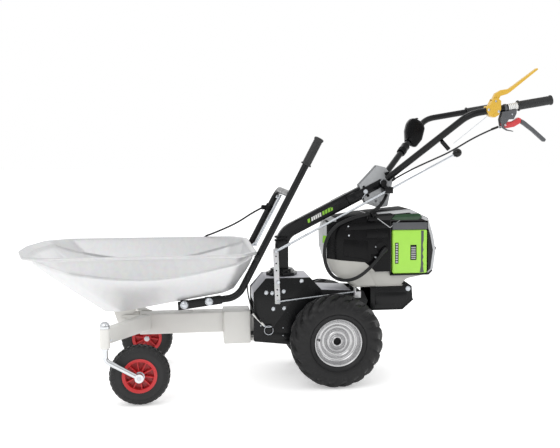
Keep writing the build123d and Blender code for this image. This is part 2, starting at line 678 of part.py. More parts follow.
def safety_lever():
    """Yellow lever held down with the palm; released, its blade stands clear of the grip."""
    outline = [(731, 1045), (729, 1055), (740, 1078), (762, 1090), (790, 1094), (895, 1170), (899, 1165),
               (796, 1084), (782, 1075), (758, 1068), (745, 1045)]
    lever = profile(outline, (-HANDLE_Y - 11, -HANDLE_Y + 11), corner=1.5)
    return lever + cross_rod(SAFETY_X, SAFETY_Z, 3, (-HANDLE_Y - 17, -HANDLE_Y + 17))


# ---- gear shift ----
def rod_point(x):
    share = (x - ROD_FOOT[0]) / (ROD_KNOB[0] - ROD_FOOT[0])
    return tuple(a + share * (b - a) for a, b in zip(ROD_FOOT, ROD_KNOB))


def shift_crank():
    """Flat strip that rocks on a stud in the left side plate."""
    strip = profile([(-46, 507), (-26, 507), (-19, 298), (-39, 298)], (CRANK_Y - 2, CRANK_Y + 2), corner=4)
    strip -= cross_rod(CRANK_X, CRANK_Z, 5 + RUN, (-120, -80))
    strip -= cross_rod(ROD_FOOT[0], ROD_FOOT[2], 3 + RUN, (-110, -90))
    return strip - cross_rod(SELECTOR_FOOT[0], SELECTOR_FOOT[1], 3 + RUN, (-110, -90))


def shift_rod():
    """Long round rod with a cross pin at its foot."""
    bar = rod(ROD_FOOT, rod_point(654), ROD_R)
    return bar + cross_rod(ROD_FOOT[0], ROD_FOOT[2], 3, (ROD_FOOT[1], CRANK_Y + 5))


def shift_knob():
    return Pos(*ROD_KNOB) * Sphere(KNOB_R) - rod(rod_point(600), rod_point(654), ROD_R)


def selector_rod():
    """Rod from the crank's foot to the fork arm on the gearbox."""
    y = SELECTOR_Y
    bar = rod((SELECTOR_FOOT[0], y, SELECTOR_FOOT[1]), (SELECTOR_END[0], y, SELECTOR_END[1]), 3)
    return bar + cross_rod(SELECTOR_FOOT[0], SELECTOR_FOOT[1], 3, (y, CRANK_Y + 5))


def selector_guide():
    """Galvanised tab on the side plate that holds the selector rod's rear end."""
    tab = box((262, 266), (-114, -90.2), (322, 352)) + box((262, 290), (-93.2, -90.2), (312, 336))
    share = (264 - SELECTOR_FOOT[0]) / (SELECTOR_END[0] - SELECTOR_FOOT[0])
    z = SELECTOR_FOOT[1] + share * (SELECTOR_END[1] - SELECTOR_FOOT[1])
    return tab - rod((250, SELECTOR_Y, z), (280, SELECTOR_Y, z), 5)


# ---- cables ----
CONTROL_CABLE = [(385, -104.5, 500), (318, -118, 430), (232, -121, 352), (152, -121, 386), (138, -120, 484),
                 (162, -119, 578), (234, -116, 612), (326, -112, 636), (385, -66, 674), (398, -50, 702)]
CLUTCH_CABLE = [(755, -290, 958), (690, -266, 930), (600, -208, 866), (545, -176, 838), (470, -112, 796),
                (424, -66, 762)]
LOCK_CABLE = [(-118, -219, 482), (-150, -219, 434), (-152, -214, 380), (-140, -176, 320), (-118, -120, 262),
              (-84, -98.5, 222)]


def lock_cable():
    """Thin release cable with its ferrule and the wire loop round the hitch pin."""
    wire = cable("lock_cable", LOCK_CABLE, 5)
    ferrule = rod((-96, -99.5, 236), (-82, -98.5, 220), 4)
    loop = Pos(HITCH_X, -99, HITCH_Z) * Rot(90, 0, 0) * Torus(17, 1.5)
    clip = box((-124, -110), (-224, -214), (480, 496))
    return wire + ferrule + loop + clip


def build():
    keep("carrier_beam", carrier_beam())
    keep("hitch_box", hitch_box())
    keep("cross_pins", cross_pins())
    keep("gearbox_housing", gearbox_housing())
    keep("deck_cover", deck_cover())
    keep("motor_bracket", motor_bracket())
    keep("chassis_bolts", chassis_bolts())
    keep("column_base", column_base())
    keep("column_tube", column_tube())
    keep("pivot_bolts", pivot_bolts())
    keep("rod_guides", Compound(children=[rod_guide(), selector_guide()]))
    for name, cover in motor_covers().items():
        keep(name, cover)
    keep("electric_motor", electric_motor())
    keep("tub", tub())
    keep("tray_bracket", tray_bracket())
    keep("lever_tube", lever_tube())
    keep("lever_hoop", lever_hoop())
    keep("lever_grip", lever_grip())
    keep("tray_stays", tray_stays())
    keep("tray_bolts", tray_bolts())
    keep("sector_plate", sector_plate())
    keep("control_box", control_box())
    keep("clutch_bracket", clutch_bracket())
    keep("safety_bracket", safety_bracket())
    keep("safety_lever", safety_lever())
    for name, shape in zip(("clutch_hub", "clutch_blade"), clutch_lever()):
        keep(name, shape)
    for name, shape in zip(("battery_case", "battery_cap"), battery()):
        keep(name, shape)
    keep("shift_crank", shift_crank())
    keep("shift_rod", shift_rod())
    keep("shift_knob", shift_knob())
    keep("selector_rod", selector_rod())
    keep("control_cable", cable("control_cable", CONTROL_CABLE, 13))
    keep("clutch_cable", cable("clutch_cable", CLUTCH_CABLE, 6))
    keep("lock_cable", lock_cable())
    for name, side in SIDES.items():
        keep("front_arm_" + name, front_arm(side))
        keep("side_plate_" + name, side_plate(side))
        keep("caster_fork_" + name, caster_fork(side))
        keep("caster_rim_" + name, caster_rim(side))
        keep("caster_tyre_" + name,
             tyre(CASTER_X, CASTER_R, side * CASTER_Y, CASTER_HALF, CASTER_RIM_R + 1.2, 25, 9))
        keep("drive_rim_" + name, drive_rim(side))
        keep("drive_tyre_" + name, tyre(DRIVE_X, DRIVE_R, side * DRIVE_Y, DRIVE_HALF, RIM_R + 0.3, 44, 12))
        keep("drive_axle_" + name, drive_axle(side))
        keep("handle_tube_" + name, handle_tube(side))
        keep("handle_grip_" + name, handle_grip(side))


build()
os.makedirs("parts", exist_ok=True)
for name, shape in NODES.items():
    export_step(shape, "parts/" + name + ".step")
print(len(NODES), "nodes")
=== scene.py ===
"""Power wheelbarrow: the looks of a battery-driven barrow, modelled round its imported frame."""
import json
from math import cos, pi, radians, sin, sqrt, tan

import bpy
from mathutils import Matrix, Vector


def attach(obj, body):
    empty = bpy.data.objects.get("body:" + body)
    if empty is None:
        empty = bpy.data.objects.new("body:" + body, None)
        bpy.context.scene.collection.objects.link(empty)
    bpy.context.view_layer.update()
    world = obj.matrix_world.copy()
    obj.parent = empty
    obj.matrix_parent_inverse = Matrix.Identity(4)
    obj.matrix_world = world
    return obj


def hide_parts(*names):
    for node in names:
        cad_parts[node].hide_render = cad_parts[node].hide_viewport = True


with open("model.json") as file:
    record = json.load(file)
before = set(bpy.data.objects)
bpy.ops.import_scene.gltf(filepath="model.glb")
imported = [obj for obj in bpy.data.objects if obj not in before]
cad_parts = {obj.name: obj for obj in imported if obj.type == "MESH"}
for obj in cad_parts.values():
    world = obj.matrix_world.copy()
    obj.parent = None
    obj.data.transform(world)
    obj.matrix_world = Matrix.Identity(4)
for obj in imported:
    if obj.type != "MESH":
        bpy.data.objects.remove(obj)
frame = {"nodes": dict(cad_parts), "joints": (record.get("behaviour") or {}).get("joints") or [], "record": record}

bl_info = {
    "name": "Power wheelbarrow",
    "version": (1, 0, 0),
    "blender": (4, 5, 0),
    "location": "3D View > Sidebar > Barrow",
    "description": "Models the visible pieces of a battery-driven tipping barrow",
    "category": "Add Mesh",
}

MM = 0.001                         # sizes and places below are in millimetres, and are made metres by it
SIDES = {"left": -1, "right": 1}
ACROSS = Vector((0, 1, 0))
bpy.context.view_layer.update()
JOINTS = {joint["name"]: joint for joint in frame["joints"]}


def pivot(joint):
    """A joint's place in millimetres."""
    return Vector(JOINTS[joint]["pos_m"]) / MM


# ---------------------------------------------------------------- sizes and colours
class BarrowSizes(bpy.types.PropertyGroup):
    lug_pairs: bpy.props.IntProperty(
        name="Lug pairs", description="Pairs of bars round a drive tyre", default=20, min=8, max=40)
    lug_height: bpy.props.FloatProperty(
        name="Lug height", description="How far a bar stands off the tyre's crown", default=0.013,
        unit="LENGTH", subtype="DISTANCE")
    caster_blocks: bpy.props.IntProperty(
        name="Caster blocks", description="Tread blocks round a caster tyre", default=34, min=12, max=60)
    spokes: bpy.props.IntProperty(
        name="Spokes", description="Radial ribs of a caster wheel", default=10, min=5, max=16)
    sheet: bpy.props.FloatProperty(
        name="Tray sheet", description="Thickness of the pressed tray", default=0.0014,
        unit="LENGTH", subtype="DISTANCE")
    edge: bpy.props.FloatProperty(
        name="Folded edge", description="Radius left on cut and folded steel edges", default=0.0015,
        unit="LENGTH", subtype="DISTANCE")
    grip_rib: bpy.props.FloatProperty(
        name="Grip rib pitch", description="Distance between the ribs of a grip", default=0.006,
        unit="LENGTH", subtype="DISTANCE")


class BarrowStudio(bpy.types.PropertyGroup):
    eye: bpy.props.FloatVectorProperty(
        name="Camera place", description="Where the camera stands", default=(-0.3694, -3.289, 0.8873),
        subtype="TRANSLATION", unit="LENGTH")
    yaw: bpy.props.FloatProperty(
        name="Turn", description="Camera's turn towards the handlebar", default=0.16, subtype="ANGLE")
    dip: bpy.props.FloatProperty(
        name="Dip", description="Camera's tilt below the horizon", default=0.074, subtype="ANGLE")
    lens: bpy.props.FloatProperty(
        name="Lens", description="Focal length on a 36 mm sensor", default=55.53, min=10)
    key_power: bpy.props.FloatProperty(
        name="Key light", description="Power of the large soft light", default=26.0, subtype="POWER")
    fill_power: bpy.props.FloatProperty(
        name="Fill light", description="Power of the soft lights from the far side and the handlebar",
        default=9.0, subtype="POWER")
    backdrop: bpy.props.FloatProperty(
        name="Backdrop", description="Strength of the white surroundings", default=1.0, min=0)


def linear(code):
    """An sRGB hex colour as linear red, green, blue and alpha."""
    channels = [int(code[place:place + 2], 16) / 255 for place in (1, 3, 5)]
    return tuple(c / 12.92 if c <= 0.04045 else ((c + 0.055) / 1.055) ** 2.4 for c in channels) + (1.0,)


def colour(label, text, code):
    return bpy.props.FloatVectorProperty(
        name=label, description=text, default=linear(code), size=4, min=0, max=1, subtype="COLOR")


class BarrowColours(bpy.types.PropertyGroup):
    battery: colour("Battery", "Moulded battery case", "#A3DC4F")
    wheel: colour("Caster wheel", "Moulded caster wheel", "#CF2F33")
    safety: colour("Safety lever", "Enamel of the safety lever", "#D6AE3C")
    carrier: colour("Carrier", "Enamel of the carrier frame", "#E2E1DD")


# ---------------------------------------------------------------- modelling helpers
def start():
    """Object mode with nothing selected."""
    if bpy.context.object and bpy.context.object.mode != "OBJECT":
        bpy.ops.object.mode_set(mode="OBJECT")
    bpy.ops.object.select_all(action="DESELECT")


def pick(*objects):
    start()
    for obj in objects:
        obj.select_set(True)
    bpy.context.view_layer.objects.active = objects[0]
    return objects[0]


def trace(points, face):
    """Extrudes one vertex from point to point and stays in edit mode with all selected."""
    start()
    bpy.ops.mesh.primitive_plane_add(size=MM)
    bpy.ops.object.mode_set(mode="EDIT")
    bpy.ops.mesh.select_all(action="SELECT")
    bpy.ops.mesh.merge(type="CENTER")
    bpy.ops.transform.translate(value=points[0])
    for here, there in zip(points, points[1:]):
        bpy.ops.mesh.extrude_vertices_move(TRANSFORM_OT_translate={"value": there - here})
    bpy.ops.mesh.select_all(action="SELECT")
    if face:
        bpy.ops.mesh.edge_face_add()
    return bpy.context.object


def face_outwards():
    bpy.ops.mesh.select_all(action="SELECT")
    bpy.ops.mesh.remove_doubles(threshold=0.00001)
    bpy.ops.mesh.normals_make_consistent(inside=False)
    bpy.ops.object.mode_set(mode="OBJECT")


def modify(obj, kind, **settings):
    """Adds one modifier and applies it."""
    pick(obj)
    modifier = obj.modifiers.new(kind.title(), kind)
    for key, value in settings.items():
        setattr(modifier, key, value)
    bpy.ops.object.modifier_apply(modifier=modifier.name)
    return obj


def soften(obj, width, segments=2):
    """Rounds every edge sharper than 30 degrees; width in mm."""
    return modify(obj, "BEVEL", width=width * MM, segments=segments, limit_method="ANGLE",
                  angle_limit=radians(30), use_clamp_overlap=True)


def slab(outline, y, edge=1.0, segments=2):
    """An outline in X and Z given a thickness along Y, in mm, with rounded edges."""
    obj = trace([Vector((x, y[0], z)) * MM for x, z in outline], True)
    bpy.ops.mesh.extrude_region_move(TRANSFORM_OT_translate={"value": (0, (y[1] - y[0]) * MM, 0)})
    face_outwards()
    return soften(obj, edge, segments) if edge else obj


def block(low, high, edge=1.0, segments=2):
    """A cube at its size and place, in mm, with rounded edges."""
    start()
    low, high = Vector(low) * MM, Vector(high) * MM
    bpy.ops.mesh.primitive_cube_add(size=1, location=(low + high) / 2)
    obj = bpy.context.object
    obj.scale = high - low
    bpy.ops.object.transform_apply(location=True, rotation=True, scale=True)
    return soften(obj, edge, segments) if edge else obj


def turn(shape, centre, axis=ACROSS, steps=48, ring=False):
    """Spins a profile of (distance along the axis, radius) about an axis through centre, in mm."""
    axis = Vector(axis).normalized()
    out = axis.orthogonal().normalized()
    centre = Vector(centre)
    points = [(centre + axis * along + out * radius) * MM for along, radius in shape]
    if ring:
        points.append(points[0])
    obj = trace(points, False)
    bpy.ops.mesh.spin(steps=steps, angle=2 * pi, center=centre * MM, axis=axis)
    face_outwards()
    return obj


def bar(start_at, end_at, radius, edge=0.6, vertices=32):
    """A round bar between two points, in mm, with a small chamfer at its ends."""
    a, b = Vector(start_at), Vector(end_at)
    long = (b - a).length
    edge = min(edge, radius * 0.5, long * 0.4)
    return turn([(0, 0), (0, radius - edge), (edge, radius), (long - edge, radius), (long, radius - edge),
                 (long, 0)], a, b - a, vertices)


def hose(points, radius, order=3, sides=5):
    """A smooth round line through loose points, in mm."""
    start()
    bpy.ops.curve.primitive_nurbs_path_add()
    obj = bpy.context.object
    obj.data.splines.clear()
    spline = obj.data.splines.new("NURBS")
    spline.points.add(len(points) - 1)
    for knot, point in zip(spline.points, points):
        knot.co = (*(Vector(point) * MM), 1)
    spline.order_u = order
    spline.use_endpoint_u = True
    obj.data.dimensions = "3D"
    obj.data.resolution_u = 8
    obj.data.bevel_depth = radius * MM
    obj.data.bevel_resolution = sides
    obj.data.use_fill_caps = True
    obj.location = (0, 0, 0)
    pick(obj)
    bpy.ops.object.convert(target="MESH")
    return bpy.context.object


def skin(name, rings, closed=True, caps=True):
    """Bridges rings of points, in mm, into one surface."""
    count = len(rings[0])
    points = [Vector(point) * MM for ring in rings for point in ring]
    faces = []
    for level in range(len(rings) - 1):
        for place in range(count if closed else count - 1):
            after = (place + 1) % count
            low, high = level * count, (level + 1) * count
            faces.append((low + place, low + after, high + after, high + place))
    if caps:
        faces.append(tuple(reversed(range(count))))
        faces.append(tuple(range(len(points) - count, len(points))))
    mesh = bpy.data.meshes.new(name)
    mesh.from_pydata(points, [], faces)
    obj = bpy.data.objects.new(name, mesh)
    bpy.context.scene.collection.objects.link(obj)
    pick(obj)
    bpy.ops.object.mode_set(mode="EDIT")
    face_outwards()
    return obj


def merge(objects):
    """Joins several meshes into one."""
    objects = [obj for obj in objects if obj]
    pick(*objects)
    if len(objects) > 1:
        bpy.ops.object.join()
    return bpy.context.object


def repeat(obj, moves):
    """Copies a mesh once for each matrix, and joins the copies."""
    copies = []
    for move in moves:
        copy = obj.copy()
        copy.data = obj.data.copy()
        copy.data.transform(move)
        bpy.context.scene.collection.objects.link(copy)
        copies.append(copy)
    bpy.data.objects.remove(obj)
    return merge(copies)


def edged(node, width, segments=2):
    """A copy of a frame part's mesh, merged, with its cut edges rounded; width in mm."""
    copy = bpy.data.objects.new(node + "_edged", bpy.data.objects[node].data.copy())
    bpy.context.scene.collection.objects.link(copy)
    pick(copy)
    bpy.ops.object.mode_set(mode="EDIT")
    bpy.ops.mesh.select_all(action="SELECT")
    bpy.ops.mesh.remove_doubles(threshold=0.00001)
    bpy.ops.mesh.dissolve_limited(angle_limit=radians(1))
    bpy.ops.object.mode_set(mode="OBJECT")
    return soften(copy, width, segments)


def combine(obj, other, operation):
    """Cuts or keeps one shape by another, which is used up."""
    modify(obj, "BOOLEAN", operation=operation, object=other, solver="EXACT")
    bpy.data.objects.remove(other)
    return obj


def hex_head(place, axis, across, high, flange=0.0):
    """A hexagon head with a chamfered crown, on a flange when it has one; sizes in mm."""
    radius = across / sqrt(3)
    head = turn([(0, 0), (0, radius), (high - 1, radius), (high, radius - 1.2), (high, 0)], place, axis, 6)
    if not flange:
        return head
    skirt = turn([(-0.1, 0), (-0.1, flange), (0.9, flange), (1.8, radius), (1.8, 0)], place, axis, 32)
    return merge([head, skirt])


def round_about(centre, count, first=0.0):
    """Matrices that turn a piece about an axle through centre, in mm, in equal steps."""
    here = Matrix.Translation(Vector(centre) * MM)
    return [here @ Matrix.Rotation(first + 2 * pi * place / count, 4, "Y") @ here.inverted()
            for place in range(count)]


def round_axle(axle, radius, angle, out):
    """A point at a radius and an angle round an axle, that far along it."""
    return (axle.x + radius * cos(angle), axle.y + out, axle.z + radius * sin(angle))


def span(side, near, far):
    """The stretch of Y between two distances from the middle line, on one side."""
    return sorted((side * near, side * far))


def loose_parts(obj, order):
    """A mesh's loose parts as objects of their own, in an order."""
    pick(obj)
    bpy.ops.object.mode_set(mode="EDIT")
    bpy.ops.mesh.select_all(action="SELECT")
    bpy.ops.mesh.separate(type="LOOSE")
    bpy.ops.object.mode_set(mode="OBJECT")
    return sorted(bpy.context.selected_objects, key=order)


def piece(obj, name, finish, body, hides=(), smooth=32):
    """Settles a finished piece: applied transforms, smooth faces, its material and body."""
    pick(obj)
    bpy.ops.object.transform_apply(location=True, rotation=True, scale=True)
    bpy.ops.object.shade_smooth_by_angle(angle=radians(smooth))
    obj.name = name
    obj.data.name = name
    obj.data.materials.clear()
    obj.data.materials.append(finish())
    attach(obj, body)
    if hides:
        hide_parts(*hides)
    return obj


def round_edges(node, edge, name, finish, body, segments=2):
    """Shows a frame part by its own shape with its edges rounded; edge in mm."""
    return piece(edged(node, edge, segments), name, finish, body, [node])


def rounded(corners, radius, steps, between):
    """A closed outline with each corner as an arc, and each straight cut into equal runs."""
    outline = []
    count = len(corners)
    for place in range(count):
        before, here, after = (Vector(corners[(place + shift) % count]) for shift in (-1, 0, 1))
        back, on = (before - here).normalized(), (after - here).normalized()
        half = back.angle(on) / 2
        trim = radius / tan(half)
        middle = here + (back + on).normalized() * (radius / sin(half))
        first, last = here + back * trim, here + on * trim
        if outline:
            tail = outline[-1]
            outline += [tail.lerp(first, run / between) for run in range(1, between)]
        for step in range(steps + 1):
            chord = first.lerp(last, step / steps) - middle
            outline.append(middle + chord.normalized() * radius)
    tail, first = outline[-1], outline[0]
    return outline + [tail.lerp(first, run / between) for run in range(1, between)]


# ---------------------------------------------------------------- materials
FINISHES = {}
NOISE_RANGE = (0.3, 0.7)     # between which most of a noise pattern lies
RELIEF_SHARE = 0.35
SPANGLE_MM = 14
SPANGLE_SHARE = 0.03
PAINTED_BOUNCE_SHARE = 0.3            # how far the lower walls are taken towards a paler tone: painted bounce light from the floor


def add(tree, kind, inputs=None, **settings):
    """Adds a node with its settings; an input takes a value or another node's output."""
    node = tree.nodes.new(kind)
    for key, value in settings.items():
        setattr(node, key, value)
    for key, value in (inputs or {}).items():
        if isinstance(value, bpy.types.NodeSocket):
            tree.links.new(value, node.inputs[key])
        else:
            node.inputs[key].default_value = value
    return node


def coat(name, light, dark, rough, patch_mm, grain_mm, relief_mm, stretch=(1, 1, 1), spread=0.08, **shader):
    """A surface of two close tones in soft patches that its roughness follows, with a fine grain in relief.

    light and dark are hex colours or linear ones; the sizes are real ones in millimetres.
    """
    if name in FINISHES:
        return FINISHES[name]
    tones = [linear(tone) if isinstance(tone, str) else tuple(tone) for tone in (light, dark)]
    made = bpy.data.materials.new(name)
    made.use_nodes = True
    tree = made.node_tree
    tree.nodes.clear()
    place = add(tree, "ShaderNodeTexCoord")
    stretched = add(tree, "ShaderNodeMapping", {"Vector": place.outputs["Object"], "Scale": stretch})
    patches = add(tree, "ShaderNodeTexNoise", {
        "Vector": stretched.outputs["Vector"], "Scale": 1 / (patch_mm * MM), "Detail": 6.0, "Roughness": 0.6})
    grain = add(tree, "ShaderNodeTexNoise", {
        "Vector": stretched.outputs["Vector"], "Scale": 1 / (grain_mm * MM), "Detail": 3.0})
    tone = add(tree, "ShaderNodeMix", {
        "Factor": patches.outputs["Fac"], "A": tones[1], "B": tones[0]}, data_type="RGBA")
    matt = add(tree, "ShaderNodeMapRange", {
        "Value": patches.outputs["Fac"], "From Min": NOISE_RANGE[0], "From Max": NOISE_RANGE[1],
        "To Min": rough - spread, "To Max": rough + spread})
    relief = add(tree, "ShaderNodeBump", {
        "Height": grain.outputs["Fac"], "Strength": RELIEF_SHARE, "Distance": relief_mm * MM})
    surface = add(tree, "ShaderNodeBsdfPrincipled", {
        "Base Color": tone.outputs["Result"], "Roughness": matt.outputs["Result"],
        "Normal": relief.outputs["Normal"], **shader})
    add(tree, "ShaderNodeOutputMaterial", {"Surface": surface.outputs["BSDF"]})
    made["tone"] = tone.name
    FINISHES[name] = made
    return made


def colours():
    return bpy.context.scene.barrow_colours


def scaled(tone, red, green, blue):
    """A linear colour with each of its channels scaled."""
    return (tone[0] * red, tone[1] * green, tone[2] * blue, 1.0)


def galvanised_sheet():
    """Hot-dip galvanised steel, pressed: satin, with draw streaks and faint spangle; its low walls are painted
    paler, as painted bounce light from the floor.
    """
    fresh = "galvanised_sheet" not in FINISHES
    made = coat("galvanised_sheet", "#D3D3D3", "#C1C2C4", 0.42, 22, 2.2, 0.05, (1, 1, 0.05), 0.05,
                Metallic=0.5)
    if fresh:
        tree = made.node_tree
        place = add(tree, "ShaderNodeTexCoord")
        spangle = add(tree, "ShaderNodeTexVoronoi", {
            "Vector": place.outputs["Object"], "Scale": 1 / (SPANGLE_MM * MM)})
        tone = tree.nodes[made["tone"]]
        flecked = add(tree, "ShaderNodeMix", {
            "Factor": SPANGLE_SHARE, "A": tone.outputs["Result"], "B": spangle.outputs["Color"]},
            data_type="RGBA")
        surface = next(node for node in tree.nodes if node.type == "BSDF_PRINCIPLED")
        # painted light: the lower walls are mixed towards near-white, standing in for light bounced up from the
        # floor
        drawn = add(tree, "ShaderNodeAttribute", attribute_name="drawn")
        share = add(tree, "ShaderNodeMath", {0: drawn.outputs["Fac"], 1: PAINTED_BOUNCE_SHARE}, operation="MULTIPLY")
        mixed = add(tree, "ShaderNodeMix", {
            "Factor": share.outputs["Value"], "A": flecked.outputs["Result"], "B": linear("#F7F7F8")},
            data_type="RGBA")
        tree.links.new(mixed.outputs["Result"], surface.inputs["Base Color"])
    return made


def cream_enamel():
    """Sprayed enamel on steel: warm near-white, half gloss, with slight orange peel."""
    base = colours().carrier
    dark = scaled(base, 0.90, 0.90, 0.90)
    return coat("cream_enamel", base, dark, 0.38, 90, 3, 0.06, **{"Coat Weight": 0.15, "Coat Roughness": 0.2})


def black_powder_coat():
    """Powder coat on steel: near-black, satin, with a fine pebbled skin."""
    return coat("black_powder_coat", "#0E0F11", "#08090A", 0.26, 60, 1.4, 0.08,
                **{"Specular IOR Level": 0.26})


def bright_zinc():
    """Electroplated zinc: bluish bright metal, a little cloudy."""
    return coat("bright_zinc", "#D5D8DC", "#B4B9BF", 0.28, 12, 1.0, 0.03, Metallic=1.0)


def drawn_chrome():
    """Chromed bar: mirror metal with faint draw marks."""
    return coat("drawn_chrome", "#E2E4E6", "#C6C9CC", 0.14, 20, 1.0, 0.01, spread=0.05, Metallic=1.0)


def red_polypropylene():
    """Moulded polypropylene wheel: saturated red, waxy half gloss."""
    base = colours().wheel
    dark = scaled(base, 0.75, 0.75, 0.75)
    return coat("red_polypropylene", base, dark, 0.36, 40, 1.2, 0.05, **{"Subsurface Weight": 0.03})


def tread_rubber():
    """Vulcanised tyre rubber: charcoal, matt, dusty in patches, with a mould-skin grain."""
    return coat("tread_rubber", "#1D1D1E", "#0E0E0F", 0.40, 22, 1.1, 0.20, spread=0.10,
                **{"Specular IOR Level": 0.3})


def caster_rubber():
    """Softer caster tyre rubber: a lighter charcoal, very matt."""
    return coat("caster_rubber", "#2E2E2E", "#1A1A1B", 0.55, 18, 0.9, 0.18, spread=0.1,
                **{"Specular IOR Level": 0.35})


def silver_enamel():
    """Silver enamel on a pressed rim: pale metallic flake, half gloss."""
    return coat("silver_enamel", "#C6C6C7", "#BEBEBF", 0.25, 80, 0.8, 0.004, spread=0.01, Metallic=0.92)


def painted_casting():
    """Sand-cast iron under black paint: rough grain, dull."""
    return coat("painted_casting", "#131416", "#0B0C0E", 0.50, 16, 1.8, 0.5)


def deck_enamel():
    """Light grey enamel on folded sheet: cool grey with a lilac cast, half gloss."""
    return coat("deck_enamel", "#BFBFC6", "#ABABB4", 0.42, 70, 2.5, 0.05)


def black_abs():
    """Moulded ABS: black, fine spark-eroded texture, satin."""
    return coat("black_abs", "#0C0C0E", "#070708", 0.24, 50, 0.9, 0.06, **{"Specular IOR Level": 0.15})


def grained_abs():
    """Moulded ABS with a spark-eroded grain: black and dull, so its flat tops don't mirror the walls."""
    return coat("grained_abs", "#121214", "#0B0B0C", 0.66, 50, 0.9, 0.12, **{"Specular IOR Level": 0.1})


def gloss_abs():
    """Polished ABS: black with a clear gloss."""
    return coat("gloss_abs", "#09090A", "#060607", 0.10, 50, 2.0, 0.01, spread=0.04,
                **{"Specular IOR Level": 0.35})


def warm_grey_abs():
    """Moulded ABS: light warm grey, eggshell texture."""
    return coat("warm_grey_abs", "#B9B8B3", "#ABAAA5", 0.44, 60, 1.0, 0.08)


def pale_grey_abs():
    """Moulded ABS of the outer frame: cool pale grey."""
    return coat("pale_grey_abs", "#BCBDBF", "#A9ABAD", 0.42, 60, 1.0, 0.06)


def battery_polymer():
    """Moulded nylon battery case: bright lime green, half gloss, fine texture."""
    base = colours().battery
    dark = scaled(base, 0.88, 0.88, 0.88)
    return coat("battery_polymer", base, dark, 0.36, 45, 0.9, 0.05)


def charcoal_polymer():
    """Moulded nylon: dark grey, finely textured."""
    return coat("charcoal_polymer", "#55575A", "#45474A", 0.5, 30, 0.9, 0.08)


def grip_rubber():
    """Moulded grip rubber: black, dull, with rubbed patches."""
    return coat("grip_rubber", "#1E1F20", "#121314", 0.52, 14, 0.8, 0.12, spread=0.10)


def sector_enamel():
    """Grey enamel on the perforated cheeks: flat mid grey."""
    return coat("sector_enamel", "#A8AAAC", "#96989A", 0.45, 40, 1.5, 0.05)


def crackle_grey():
    """Textured dark grey paint on pressed brackets."""
    return coat("crackle_grey", "#56585B", "#434548", 0.5, 10, 1.2, 0.3)


def red_enamel():
    """Gloss red enamel on the lever hub, slightly dulled."""
    return coat("red_enamel", "#CE4144", "#B2292D", 0.36, 12, 1.2, 0.06, **{"Coat Weight": 0.2})


def yellow_enamel():
    """Yellow enamel on pressed steel: warm, with rubbed and blotched patches."""
    base = colours().safety
    dark = scaled(base, 0.86, 0.80, 0.6)
    return coat("yellow_enamel", base, dark, 0.42, 7, 1.4, 0.12)


def cable_jacket():
    """Extruded PVC jacket: black, smooth, slightly waxy."""
    return coat("cable_jacket", "#141516", "#0B0C0D", 0.34, 20, 1.0, 0.03, **{"Specular IOR Level": 0.3})


def white_label():
    """Printed polyester label: white, smooth."""
    return coat("white_label", "#E9E9E6", "#D8D8D5", 0.35, 12, 1.0, 0.01)


def green_label():
    """Printed polyester label: lime green, smooth."""
    return coat("green_label", "#93CF3B", "#7DBB2B", 0.35, 12, 1.0, 0.01)


def smoked_window():
    """Tinted acrylic window: dark green, glossy."""
    return coat("smoked_window", "#24482A", "#16301C", 0.10, 30, 2.0, 0.01, spread=0.04)


def studio_floor():
    """Matt white studio floor."""
    return coat("studio_floor", "#FDFDFD", "#FAFAFA", 0.9, 800, 5, 0.01,
                **{"Emission Color": (1, 1, 1, 1), "Emission Strength": 0.36})


SLOT_FINISH = {
    "galvanised_sheet": galvanised_sheet, "cream_paint": cream_enamel, "black_paint": black_powder_coat,
    "zinc_plate": bright_zinc, "chrome": drawn_chrome, "red_plastic": red_polypropylene,
    "tyre_rubber": tread_rubber, "silver_paint": silver_enamel, "cast_case": painted_casting,
    "deck_sheet": deck_enamel, "black_plastic": black_abs, "grey_plastic": warm_grey_abs,
    "motor_steel": painted_casting, "battery_green": battery_polymer, "battery_grey": charcoal_polymer,
    "grip_rubber": grip_rubber, "sector_steel": sector_enamel, "dark_grey_metal": crackle_grey,
    "red_metal": red_enamel, "yellow_paint": yellow_enamel, "cable_jacket": cable_jacket,
    "gloss_black": gloss_abs,
}


# ---------------------------------------------------------------- stage
LENS_SHIFT = (-0.078, -0.0243)     # shares of the frame's width
FLOOR_WIDE = 60                    # metres, as all that follows here
FLOOR_Z = -0.0005
AIM = (0, 0, 0.5)
LIGHTS = (("key", (-1.6, -2.6, 3.0), 2.6, "key_power"), ("fill", (2.6, -1.8, 2.2), 2.2, "fill_power"),
          ("back", (0.4, 2.8, 2.8), 2.4, "fill_power"))
BRIGHT_WALLS = (-0.55, 0.5, 0.65)  # the way from the barrow to its brightest surroundings
WALLS_FROM, WALLS_TO = -0.9, 0.15
DIM_WALLS = 0.35                   # the dimmest wall's share of the brightest


